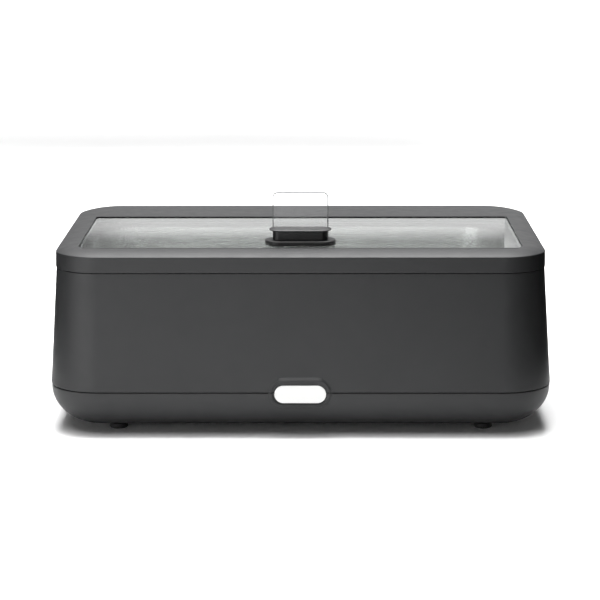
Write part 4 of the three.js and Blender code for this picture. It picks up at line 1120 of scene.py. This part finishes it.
@dataclass
class Controls:
    """The recessed panel at the back, with its knob, pilot lamp, rocker switch and mains inlet."""

    shop: Workshop
    wall: float = 2.4
    flange: float = 4.0
    corner: float = 5.0
    lip: float = 0.8
    flange_back: float = 3.47  # from the panel's face to its flange
    switch_rim: float = 2.0
    inlet_rim: float = 2.75
    rocker_room: tuple[float, float] = (13.9, 7.8)  # half sizes of the opening that the rocker works in
    rocker_half: float = 12.5
    grip_inset: float = 2.5
    grip_ridges: int = 30
    tick_start: float = 17.0
    tick_end: float = 18.3
    long_tick_end: float = 19.2
    mouth_slope: float = 4.5  # how far the inlet's mouth is cut off at its lower corners
    ticks: int = 11
    tick_sweep: float = 270.0  # degrees from the first tick to the last
    rocker_tilt: float = -8.0  # degrees, with the switch off

    def __post_init__(self) -> None:
        """Reads the controls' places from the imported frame."""
        self.panel = Bounds.of("control_panel")
        self.inlet = Bounds.of("mains_inlet")
        self.switch = Bounds.of("switch_housing")
        self.lens = Bounds.of("pilot_lens")
        self.knob = Bounds.of("thermostat_knob")
        self.rocker = Bounds.of("power_rocker")
        self.shaft = Bounds.of("thermostat_shaft")
        self.back = self.panel.low[1]
        self.floor = self.back + self.wall

    def tub(self, box: Bounds, rows: list[tuple[float, float, float]], rounds: dict[int, float]) -> Skin:
        """A stepped rounded box that faces the back.

        Args:
            box: gives its middle and its half sizes.
            rows: inset from the box, corner radius and distance back from the middle of the dish, for each step.
            rounds: how far each chosen step is rounded.

        Returns:
            The closed surface.
        """
        steps = [section(box.half[0] - inset, box.half[2] - inset, corner, y) for inset, corner, y in rows]
        skin = Skin.of_sections(soften(steps, rounds, 4), corner_steps=8, side_steps=4).facing_back()
        return skin.moved(x=box.centre[0], z=box.centre[2])

    def build_panel(self) -> None:
        """The moulded tub with its flange behind the casing's wall, and openings for the controls."""
        face = self.panel.high[1]
        flange_back = face - self.flange_back
        rows = [
            (self.flange, self.corner, self.back),
            (self.flange, self.corner, flange_back - self.wall),
            (0.0, self.corner, flange_back - self.wall),
            (0.0, self.corner, flange_back),
            (self.flange, self.corner, flange_back),
            (self.flange, self.corner, face),
            (self.flange + self.wall, self.corner - self.wall, face),
            (self.flange + self.wall, self.corner - self.wall, self.floor),
        ]
        tub = self.tub(self.panel, rows, {0: 0.6, 2: 0.4, 3: 0.4, 5: self.lip, 6: self.lip, 7: 1.6})
        panel = tub.mesh_object("control_recess")
        cuts = []
        for box, rim in ((self.switch, self.switch_rim), (self.inlet, self.inlet_rim)):
            low = (box.low[0] + rim - GAP, self.back - 1, box.low[2] + rim - GAP)
            high = (box.high[0] - rim + GAP, self.floor + 1, box.high[2] - rim + GAP)
            cuts.append(block(low, high, 0.2))
        for box, radius in ((self.shaft, self.shaft.half[0] + 0.25), (self.lens, self.lens.half[0] - 1.2)):
            bore = Skin.turned([(radius, self.back - 1), (radius, self.floor + 1)], 32).facing_back()
            cuts.append(bore.moved(x=box.centre[0], z=self.panel.centre[2]))
        combine(panel, cuts, "DIFFERENCE")
        self.shop.settle(panel, Slot.CASING, Body.ROOT, "control_panel")

    def build_dial(self) -> None:
        """Printed ticks round the knob, longer at both ends and in the middle."""
        ticks = []
        for number, degrees in enumerate(np.linspace(-self.tick_sweep / 2, self.tick_sweep / 2, self.ticks)):
            long = number in (0, self.ticks // 2, self.ticks - 1)
            end = self.long_tick_end if long else self.tick_end
            tick = block((-0.35, self.floor - 0.05, self.tick_start), (0.35, self.floor + 0.06, end), 0.03)
            turn = math.radians(degrees)
            x, y, z = tick.points.T
            spun = np.stack([x * math.cos(turn) + z * math.sin(turn), y, z * math.cos(turn) - x * math.sin(turn)], -1)
            ticks.append(Skin(spun, tick.faces).moved(x=self.shaft.centre[0], z=self.panel.centre[2]))
        marks = ticks[0].plus(*ticks[1:]).mesh_object("dial_ticks")
        self.shop.settle(marks, Slot.WHITE, Body.ROOT)

    def build_knob(self) -> None:
        """The knob: a skirt, a ridged grip with a dished top, and a raised pointer with a white line."""
        base, top = self.knob.low[1], self.knob.high[1]
        radius = self.knob.half[0]
        grip = radius - self.grip_inset
        crest = top - 1.0
        middle = self.shaft.centre
        rim = [(radius - 0.3, 0.0), (radius, 0.3), (radius, 2.0), (radius - 0.6, 2.8)]
        skirt_profile = [(0.0, 0.0), *rim, (grip - 1, 3.2), (0.0, 3.2)]
        skirt = Skin.turned([(r, base + y) for r, y in skirt_profile], 120)
        edge = [(grip - 0.2, 8.0), (grip - 0.7, 9.3), (grip - 1.8, 9.9), (grip - 3.0, 10.0), (grip - 6.0, 9.5)]
        grip_profile = [(grip, 2.0), (grip - 0.1, 5.0), *edge, (0.0, 9.3)]
        ridged = Skin.turned([(r, base + y) for r, y in grip_profile], 240, self.grip_ridges, 0.7)
        pointer = block((-1.5, base + 1, 1.0), (1.5, top - 0.2, radius - 1.0), 0.5)
        knob = skirt.facing_back().moved(middle[0], 0, middle[2]).mesh_object("knob_cap")
        tools = [ridged.facing_back().moved(middle[0], 0, middle[2]), pointer.moved(middle[0], 0, middle[2])]
        combine(knob, tools, "UNION")
        self.shop.settle(knob, Slot.BLACK, Body.KNOB, "thermostat_knob")
        line = block((-0.6, crest - 0.3, 3.0), (0.6, top, radius - 1.8), 0.15).moved(middle[0], 0, middle[2])
        self.shop.settle(line.mesh_object("pointer_line"), Slot.WHITE, Body.KNOB)

    def build_switch(self) -> None:
        """The switch housing with its bevelled collar, and the dished rocker in it."""
        box = self.switch
        front, seat = box.high[1], self.floor + GAP
        room = (box.half[0] - self.rocker_room[0], box.half[2] - self.rocker_room[1])
        rows = [
            section(box.half[0] - 2, box.half[2] - 2, 1.0, box.low[1]),
            section(box.half[0] - 2, box.half[2] - 2, 1.0, seat),
            section(box.half[0], box.half[2], 2.4, seat),
            section(box.half[0], box.half[2], 2.4, front),
            section(box.half[0] - room[0], box.half[2] - room[1], 0.8, front - 0.5),
            section(box.half[0] - room[0], box.half[2] - room[1], 0.8, self.floor - 7.6),
        ]
        shape = soften(rows, {0: 0.4, 2: 0.2, 3: 0.9, 4: 0.4}, 4)
        housing = Skin.of_sections(shape, corner_steps=8, side_steps=2).facing_back()
        housing = housing.moved(x=box.centre[0], z=box.centre[2])
        self.shop.settle(housing.mesh_object("switch_body"), Slot.BLACK, Body.ROOT, "switch_housing")
        self.shop.settle(self.rocker_skin().mesh_object("rocker"), Slot.BLACK, Body.ROCKER, "power_rocker")

    def rocker_skin(self) -> Skin:
        """The rocker: its top dips by a parabola, and three low ribs run across its pressed end.

        The outline's height at x is 2.35 + 0.8 (x / half)(x / half), less 0.35 |x / half| to the power 40, which
        rounds its ends.
        Each rib adds 0.3 exp(-u u), where u is the distance from the rib's middle over 0.45.
        """
        half, wide = self.rocker_half, self.rocker.half[2]
        x = np.linspace(half, -half, 101)
        ribs = sum(0.3 * np.exp(-(((x - place) / 0.45) ** 2)) for place in (-9.4, -7.4, -5.4))
        upper = np.stack([x, 2.35 + 0.8 * (x / half) ** 2 + ribs - 0.35 * (np.abs(x) / half) ** 40], -1)
        lower = np.stack([np.linspace(-half, half, 41), np.full(41, -2.5)], -1)
        outline = np.concatenate([upper, lower])
        rows = []
        bevel = [(-wide, 0.7), (-wide + 0.2, 0.25), (-wide + 0.7, 0.0)]
        for z, inset in [*bevel, (wide - 0.7, 0.0), (wide - 0.2, 0.25), (wide, 0.7)]:
            ring = outline * np.array([1 - inset / half, 1 - inset / 3.0])
            rows.append(np.column_stack([ring, np.full(len(ring), z)]))
        grid = np.array(rows)
        turn = math.radians(self.rocker_tilt)
        x, y, z = np.moveaxis(grid, -1, 0)
        spun = [x * math.cos(turn) - y * math.sin(turn), x * math.sin(turn) + y * math.cos(turn), z]
        return Skin.of_grid(np.stack(spun, -1)).moved(self.switch.centre[0], self.floor + 0.4, self.switch.centre[2])

    def build_lens(self) -> None:
        """The pilot lamp's domed lens with its flange and barrel."""
        box = self.lens
        radius, seat, top = box.half[0], self.floor + GAP, box.high[1]
        dome = [(radius * 0.86 * math.cos(t), top - 0.7 + 0.7 * math.sin(t)) for t in np.linspace(0.1, 1.5, 7)]
        barrel = [(radius - 1.8, box.low[1]), (radius - 1.5, box.low[1] + 0.3), (radius - 1.5, seat)]
        profile = [(0.0, box.low[1]), *barrel]
        profile += [(radius, seat), (radius, seat + 0.5), (radius - 0.3, top - 0.7), *dome, (0.0, top)]
        lens = Skin.turned(profile, 48).facing_back().moved(x=box.centre[0], z=box.centre[2])
        self.shop.settle(lens.mesh_object("pilot_dome"), Slot.AMBER, Body.ROOT, "pilot_lens")

    def build_inlet(self) -> None:
        """The mains inlet: a bevelled collar, a mouth narrow at its lower corners, and three flat pins."""
        box = self.inlet
        half_x, half_z = box.half[0] - 3.0, box.half[2] - 2.5
        front, seat = box.high[1], self.floor + GAP
        rows = [
            section(half_x, half_z, 1.0, box.low[1]),
            section(half_x, half_z, 1.0, seat),
            section(box.half[0], box.half[2], 3.0, seat),
            section(box.half[0], box.half[2], 3.0, front),
        ]
        body = Skin.of_sections(soften(rows, {0: 0.4, 2: 0.2, 3: 0.7}, 4), corner_steps=8, side_steps=4)
        socket = body.facing_back().moved(x=box.centre[0], z=box.centre[2]).mesh_object("inlet_socket")
        x, z, slope = half_x - 1.8, half_z - 1.8, self.mouth_slope
        mouth = np.array([(-x, -z + slope), (-x + slope, -z), (x - slope, -z), (x, -z + slope), (x, z), (-x, z)])
        bottom = box.low[1] + 4.0
        levels = [(bottom, 1.0), (front - 0.9, 1.0), (front + 0.1, 1.07), (front + 1.0, 1.07)]
        rings = np.array([np.column_stack([mouth * grow, np.full(6, y)]) for y, grow in levels])
        room = Skin.of_grid(rings).facing_back().moved(x=box.centre[0], z=box.centre[2])
        slots = []
        for name in ("live", "earth", "neutral"):
            pin = Bounds.of(f"inlet_pin_{name}")
            slots.append(block(tuple(pin.low - GAP), tuple(pin.high + GAP), 0.1))
            self.build_pin(name, pin)
        combine(socket, [room, *slots], "DIFFERENCE")
        self.shop.settle(socket, Slot.BLACK, Body.ROOT, "mains_inlet")

    def build_pin(self, name: str, box: Bounds) -> None:
        """One flat brass pin with a tapered tip, and a hole through its soldering tab.

        Args:
            name: live, earth or neutral.
            box: the pin's own box.
        """
        rows = [
            section(box.half[0], box.half[2], 0.35, box.low[1]),
            section(box.half[0], box.half[2], 0.35, box.high[1] - 2.0),
            section(box.half[0] - 0.45, box.half[2] - 0.8, 0.3, box.high[1]),
        ]
        shape = soften(rows, {0: 0.3, 1: 0.8, 2: 0.3}, 3)
        blade = Skin.of_sections(shape, corner_steps=3, side_steps=1).facing_back()
        pin = blade.moved(x=box.centre[0], z=box.centre[2]).mesh_object(f"pin_{name}")
        hole = Skin.turned([(0.8, -3.0), (0.8, 3.0)], 20).lying_along_x()
        combine(pin, [hole.moved(box.centre[0], box.low[1] + 2.4, box.centre[2])], "DIFFERENCE")
        self.shop.settle(pin, Slot.BRASS, Body.ROOT, f"inlet_pin_{name}")

    def build(self) -> None:
        """All of the controls' pieces."""
        self.build_panel()
        self.build_dial()
        self.build_knob()
        self.build_switch()
        self.build_lens()
        self.build_inlet()


# ---------------------------------------------------------------------------------------------------------------
# Hinges and screws
# ---------------------------------------------------------------------------------------------------------------

@dataclass
class Hinges:
    """Two knuckle hinges at the back: a bracket on the body, a leaf on the lid and a pin through both."""

    shop: Workshop
    radius: float = 4.0
    knuckle: float = 12.0
    plate: float = 2.2
    pin_radius: float = 1.75
    running: float = 0.25
    chamfer: float = 0.45
    screw_hole: float = 2.2
    draft: float = 9.2  # how far the body's wall leans in over its height
    wall_height: float = 138.5
    leaf_foot: float = 4.8  # from the pin's middle up to the leaf's plate

    def barrel(self, start: float, end: float, radius: float, place: np.ndarray, bevel: float) -> Skin:
        """A round bar along X between two places, with bevelled ends."""
        profile = [(radius - bevel, start), (radius, start + bevel), (radius, end - bevel), (radius - bevel, end)]
        return Skin.turned(profile, 40).lying_along_x().moved(y=place[1], z=place[2])

    def extruded(self, outline: list[tuple[float, float]], start: float, end: float) -> Skin:
        """An outline carried along X, drawn in by the chamfer at both ends.

        Args:
            outline: its (y, z) points in order.
            start: where it starts along X.
            end: where it ends along X.

        Returns:
            The closed surface.
        """
        ring = np.array(outline)
        middle = (ring.min(0) + ring.max(0)) / 2
        size = (ring.max(0) - ring.min(0)) / 2
        small = middle + (ring - middle) * (1 - self.chamfer / size)
        levels = [(start, small), (start + self.chamfer, ring), (end - self.chamfer, ring), (end, small)]
        return Skin.of_grid(np.array([np.column_stack([np.full(len(r), x), r]) for x, r in levels]))

    def drilled(self, thing: bpy.types.Object, screws: list[str], bore: Skin, extra: list[Skin]) -> None:
        """Cuts the pin's bore, the screws' holes and any other room out of a hinge part.

        Args:
            thing: the part to cut.
            screws: the nodes of the screws that go through it.
            bore: the bore of the pin.
            extra: any other surfaces to cut with.
        """
        cuts = [bore, *extra]
        for name in screws:
            box = Bounds.of(name)
            hole = Skin.turned([(self.screw_hole, box.low[1] - 2), (self.screw_hole, box.high[1] + 2)], 24)
            cuts.append(hole.facing_back().moved(x=box.centre[0], z=box.centre[2]))
        combine(thing, cuts, "DIFFERENCE", 30.0)

    def build_one(self, name: str) -> None:
        """One hinge: bracket, leaf and pin.

        Args:
            name: left or right.
        """
        bracket, leaf = Bounds.of(f"hinge_bracket_{name}"), Bounds.of(f"hinge_leaf_{name}")
        pin = Bounds.of(f"hinge_pin_{name}")
        start, end, place = bracket.low[0], bracket.high[0], pin.centre
        bore = self.barrel(start - 1, end + 1, self.pin_radius + self.running, place, 0.01)
        inner = Bounds.of("body_shell").high[1] - self.draft + GAP
        lean = self.draft / self.wall_height
        seam = place[2]

        def wall(z: float) -> float:
            """How far back the body's drafted wall lies at height z, with room for the bracket."""
            return inner + lean * (seam - z)

        top, bottom = seam - 1.5, bracket.low[2]
        outline = [
            (wall(bottom), bottom),
            (wall(bottom) + self.plate, bottom),
            (wall(seam - 7) + self.plate, seam - 7),
            (place[1] + self.radius * 0.8, seam - self.radius * 0.6),
            (place[1], seam),
            (wall(top), top),
        ]
        fixed = self.extruded(outline, start, end).mesh_object(f"bracket_{name}")
        ends = [
            self.barrel(start, start + self.knuckle, self.radius, place, self.chamfer),
            self.barrel(end - self.knuckle, end, self.radius, place, self.chamfer),
        ]
        combine(fixed, ends, "UNION")
        room = self.barrel(start + self.knuckle, end - self.knuckle, self.radius + 0.6, place, 0.01)
        self.drilled(fixed, [f"bracket_screw_{name}_{i}" for i in (1, 2)], bore, [room])
        self.shop.settle(fixed, Slot.HINGE, Body.ROOT, f"hinge_bracket_{name}")

        first, last = start + self.knuckle + GAP, end - self.knuckle - GAP
        rim = leaf.high[2]
        leaf_face = Bounds.of("lid_frame").high[1] + GAP
        upper = block((start, leaf_face, seam + self.leaf_foot), (end, leaf_face + self.plate, rim), self.chamfer)
        tongue = block((first, leaf_face, seam + 1.0), (last, leaf_face + self.plate, rim - 1), self.chamfer)
        moving = upper.mesh_object(f"leaf_{name}")
        combine(moving, [tongue, self.barrel(first, last, self.radius, place, self.chamfer)], "UNION")
        self.drilled(moving, [f"leaf_screw_{name}_{i}" for i in (1, 2)], bore, [])
        self.shop.settle(moving, Slot.HINGE, Body.LID, f"hinge_leaf_{name}")

        rod = self.barrel(start, end, self.pin_radius, place, 0.4)
        self.shop.settle(rod.mesh_object(f"pin_{name}"), Slot.STEEL, Body.ROOT, f"hinge_pin_{name}")

    def build(self) -> None:
        """Both hinges."""
        self.build_one("left")
        self.build_one("right")


@dataclass
class Screws:
    """Every screw: a domed head with a cross recess, and a threaded shank."""

    shop: Workshop
    head: float = 3.6
    head_height: float = 2.2
    shank: float = 1.9
    pitch: float = 0.9
    thread: float = 0.22
    recess: float = 0.55
    recess_reach: float = 1.9
    recess_depth: float = 1.2

    def skin(self, length: float) -> Skin:
        """A screw with the top of its head at the origin and its shank pointing down.

        The shank's radius falls from full to full minus the thread's depth and back once in every pitch.

        Args:
            length: from the head's top to the tip.

        Returns:
            The closed surface.
        """
        turns = np.arange(self.head_height + 0.6, length - 0.8, self.pitch / 2)
        teeth = [(self.shank - (self.thread if i % 2 else 0.0), -z) for i, z in enumerate(turns)]
        dome = [(self.head * math.sin(t), -0.9 * (1 - math.cos(t))) for t in np.linspace(0, math.pi / 2, 8)]
        under = [(self.head, -self.head_height + 0.2), (self.head - 0.2, -self.head_height)]
        tip = [(self.shank - 0.5, -length + 0.3), (self.shank - 0.9, -length), (0.0, -length)]
        profile = [*dome, *under, (self.shank, -self.head_height), *teeth, *tip]
        return Skin.turned(profile[::-1], 28)

    def cross(self) -> list[Skin]:
        """The two bars that cut the recess."""
        a, b, deep = self.recess, self.recess_reach, self.recess_depth
        return [block((-a, -b, -deep), (a, b, 1.0), 0.1), block((-b, -a, -deep), (b, a, 1.0), 0.1)]

    def place(self, skin: Skin, box: Bounds, axis: str) -> Skin:
        """Turns a screw and carries it to its node's place.

        Args:
            skin: the screw, as skin() gives it.
            box: its node's box.
            axis: y for a head to the back, z for a head facing down.

        Returns:
            The placed surface.
        """
        if axis == "y":
            return skin.facing_back().moved(box.centre[0], box.high[1], box.centre[2])
        flipped = Skin(skin.points * np.array([1, -1, -1]), skin.faces)
        return flipped.moved(box.centre[0], box.centre[1], box.low[2])

    def build(self) -> None:
        """All of the screws."""
        sites = [("y", Body.ROOT, f"bracket_screw_{side}_{i}") for side in ("left", "right") for i in (1, 2)]
        sites += [("y", Body.LID, f"leaf_screw_{side}_{i}") for side in ("left", "right") for i in (1, 2)]
        sites += [("z", Body.LID, f"handle_screw_{i}") for i in (1, 2)]
        corners = ("front_left", "front_right", "rear_left", "rear_right")
        sites += [("z", Body.ROOT, f"foot_screw_{corner}") for corner in corners]
        for axis, body, node in sites:
            box = Bounds.of(node)
            length = (box.high - box.low)[1 if axis == "y" else 2]
            screw = self.place(self.skin(length), box, axis).mesh_object(node.replace("screw", "fixing"))
            combine(screw, [self.place(cut, box, axis) for cut in self.cross()], "DIFFERENCE", 30.0)
            self.shop.settle(screw, Slot.STEEL, body, node)


# ---------------------------------------------------------------------------------------------------------------
# Studio
# ---------------------------------------------------------------------------------------------------------------

@dataclass
class Studio:
    """The camera, the pale floor and the soft lights."""

    place: tuple[float, float, float] = (0.017, -2.5674, 0.6522)
    pitch: float = 0.20268  # radians, as are the two below
    yaw: float = 0.00718
    roll: float = -0.00171
    lens: float = 127.6
    dim: float = 0.15
    bright: float = 0.72
    sun: float = 1.2
    sun_angle: float = 30.0
    sun_place: tuple[float, float, float] = (-0.3, -0.9, 2.2)
    overhead: float = 185.0
    side: float = 17.0
    card_low: tuple[float, float, float] = (-0.9, 2.0, 0.5)
    card_high: tuple[float, float, float] = (0.43, 2.02, 0.95)
    card_start: float = 0.551
    card_end: float = 0.59
    card_bright: float = 1.12
    card_dim: float = 0.08
    card_left_start: float = -0.52  # metres across; the card is dimmer on this side
    card_left_end: float = -0.36
    card_left_share: float = 0.6
    board_bright: float = 1.3
    flag_side: float = 450.0  # millimetres, as are the two below
    flag_low: float = 45.0
    flag_high: float = 700.0

    def build_camera(self) -> None:
        """A long lens in front of the dish, looking slightly down and turned a hair to the left."""
        camera = bpy.data.cameras.new("camera")
        camera.lens = self.lens
        camera.sensor_width = 36.0
        camera.clip_end = 100.0
        holder = bpy.data.objects.new("camera", camera)
        turn = Matrix.Rotation(self.yaw, 4, "Z") @ Matrix.Rotation(math.pi / 2 - self.pitch, 4, "X")
        holder.matrix_world = Matrix.Translation(self.place) @ turn @ Matrix.Rotation(self.roll, 4, "Z")
        bpy.context.scene.collection.objects.link(holder)
        bpy.context.scene.camera = holder

    def build_floor(self) -> None:
        """A wide pale table top that fills the picture behind the dish."""
        reach = 26000.0
        table = slab(section(reach, reach, 10, 0), -20.0, -0.02, 2.0, 2, corner_steps=2, side_steps=1)
        floor = table.mesh_object("floor")
        sheet = NodeSheet("pale_table")
        sheet.tint(sheet.ranged(sheet.noise(3.0, 2.0), 0.0, 1.0), (0.92, 0.92, 0.92), (0.94, 0.94, 0.94))
        sheet.set(Roughness=0.9, Specular_IOR_Level=0.1)
        floor.data.materials.append(sheet.material)

    def build_sky(self) -> None:
        """Light from all round: bright behind the dish, dim in front and at its sides.

        The strength rises from `dim` to `bright` with the direction's +Y part.
        """
        world = bpy.data.worlds.new("studio")
        world.use_nodes = True
        nodes, links = world.node_tree.nodes, world.node_tree.links
        place = nodes.new("ShaderNodeTexCoord")
        parts = nodes.new("ShaderNodeSeparateXYZ")
        links.new(place.outputs["Generated"], parts.inputs["Vector"])
        span = nodes.new("ShaderNodeMapRange")
        span.interpolation_type = "SMOOTHSTEP"
        for key, value in (("From Min", 0.2), ("From Max", 0.9), ("To Min", self.dim), ("To Max", self.bright)):
            span.inputs[key].default_value = value
        links.new(parts.outputs["Y"], span.inputs["Value"])
        links.new(span.outputs["Result"], nodes["Background"].inputs["Strength"])
        nodes["Background"].inputs["Color"].default_value = (1, 1, 1, 1)
        bpy.context.scene.world = world

    def aim(self, light: bpy.types.Light, place: tuple[float, float, float]) -> None:
        """Hangs a light at a place and turns it to face the middle of the dish.

        Args:
            light: the light.
            place: where it hangs, in metres.
        """
        holder = bpy.data.objects.new(light.name, light)
        holder.location = place
        holder.rotation_euler = (Vector((0, 0, 0.1)) - Vector(place)).to_track_quat("-Z", "Y").to_euler()
        bpy.context.scene.collection.objects.link(holder)

    def lamp(
        self, name: str, place: tuple[float, float, float], size: tuple[float, float], power: float
    ) -> None:
        """A soft rectangular lamp that faces the dish.

        Args:
            name: the lamp's name.
            place: where it hangs.
            size: its width and height.
            power: its power in watts.
        """
        light = bpy.data.lights.new(name, "AREA")
        light.shape = "RECTANGLE"
        light.size, light.size_y = size
        light.energy = power
        self.aim(light, place)

    def build_card(self) -> None:
        """A grey card that hangs behind the dish, out of the picture, for its glass and rims to reflect.

        It is bright along its lower edge and falls off smoothly to grey above.
        """
        low, high = np.array(self.card_low) / MM, np.array(self.card_high) / MM
        card = block(tuple(low), tuple(high), 1.0).mesh_object("grey_card")
        sheet = NodeSheet("card_paper")
        parts = sheet.node("ShaderNodeSeparateXYZ")
        sheet.link(sheet.place, parts.inputs["Vector"])

        def fall(axis: str, start: float, end: float, first: float, last: float) -> bpy.types.NodeSocket:
            """A value that runs smoothly from first to last between two places on an axis."""
            span = sheet.node("ShaderNodeMapRange", interpolation_type="SMOOTHSTEP")
            for key, value in (("From Min", start), ("From Max", end), ("To Min", first), ("To Max", last)):
                span.inputs[key].default_value = value
            sheet.link(parts.outputs[axis], span.inputs["Value"])
            return span.outputs["Result"]

        across = fall("X", self.card_left_start, self.card_left_end, self.card_left_share, 1.0)
        both = sheet.node("ShaderNodeMath", operation="MULTIPLY")
        sheet.link(fall("Z", self.card_start, self.card_end, self.card_bright, self.card_dim), both.inputs[0])
        sheet.link(across, both.inputs[1])
        glow = sheet.node("ShaderNodeEmission")
        sheet.link(both.outputs["Value"], glow.inputs["Strength"])
        sheet.link(glow.outputs["Emission"], sheet.output.inputs["Surface"])
        card.data.materials.append(sheet.material)
        self.stand_aside(card)

    @staticmethod
    def stand_aside(board: bpy.types.Object) -> None:
        """Makes a board part of the studio: surfaces reflect it, and no view is blocked by it."""
        board.visible_camera = False
        board.visible_transmission = False

    def build_backdrop(self) -> None:
        """A lit white board at the back of the table, as high as the picture sees."""
        board = block((-3000.0, 2660.0, 0.0), (3000.0, 2680.0, 420.0), 1.0).mesh_object("backdrop")
        sheet = NodeSheet("lit_board")
        glow = sheet.node("ShaderNodeEmission")
        glow.inputs["Strength"].default_value = self.board_bright
        sheet.link(glow.outputs["Emission"], sheet.output.inputs["Surface"])
        board.data.materials.append(sheet.material)

    def build_flags(self) -> None:
        """Two black flags, one at each side just out of the picture, that keep the casing's sides dark."""
        sheet = NodeSheet("black_felt")
        sheet.tint(sheet.ranged(sheet.noise(40.0), 0.0, 1.0), (0.004, 0.004, 0.004), (0.008, 0.008, 0.008))
        sheet.set(Roughness=0.95, Specular_IOR_Level=0.05)
        for name, side, front, lean in (("flag_left", -1, -220.0, 0.0), ("flag_right", 1, -1500.0, 0.14)):
            inner, outer = sorted((side * self.flag_side, side * (self.flag_side + 5.0)))
            board = block((inner, front, self.flag_low), (outer, 450.0, self.flag_high), 1.0)
            board.points[:, 0] += lean * (board.points[:, 1] - 450.0)
            flag = board.mesh_object(name)
            flag.data.materials.append(sheet.material)
            self.stand_aside(flag)

    def build(self) -> None:
        """Camera, floor, sky, card, flags and lamps."""
        self.build_camera()
        self.build_flags()
        self.build_backdrop()
        self.build_floor()
        self.build_sky()
        self.build_card()
        front = bpy.data.lights.new("front_fill", "SUN")
        front.energy = self.sun
        front.angle = math.radians(self.sun_angle)
        self.aim(front, self.sun_place)
        self.lamp("overhead_box", (0.0, 0.35, 2.2), (2.0, 1.9), self.overhead)
        self.lamp("side_box", (-1.45, -1.85, 0.38), (1.5, 0.7), self.side)
        bpy.context.scene.view_settings.view_transform = "Standard"


def dress_nodes(shop: Workshop) -> None:
    """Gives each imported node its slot's finish."""
    for entry in frame["record"]["subparts"]:
        shop.dress(frame["nodes"][entry["node"]], Slot(entry["material_slot"]))


def main() -> None:
    """Builds the camera, the dish's sub-assemblies in order, and the studio round them."""
    logging.basicConfig(level=logging.INFO, format="%(name)s: %(message)s")
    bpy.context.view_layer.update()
    shop = Workshop()
    Studio().build()
    dress_nodes(shop)
    for assembly in (Casing(shop), Lid(shop), Pans(shop), Controls(shop), Hinges(shop), Screws(shop)):
        assembly.build()


if __name__ == "__main__":
    main()
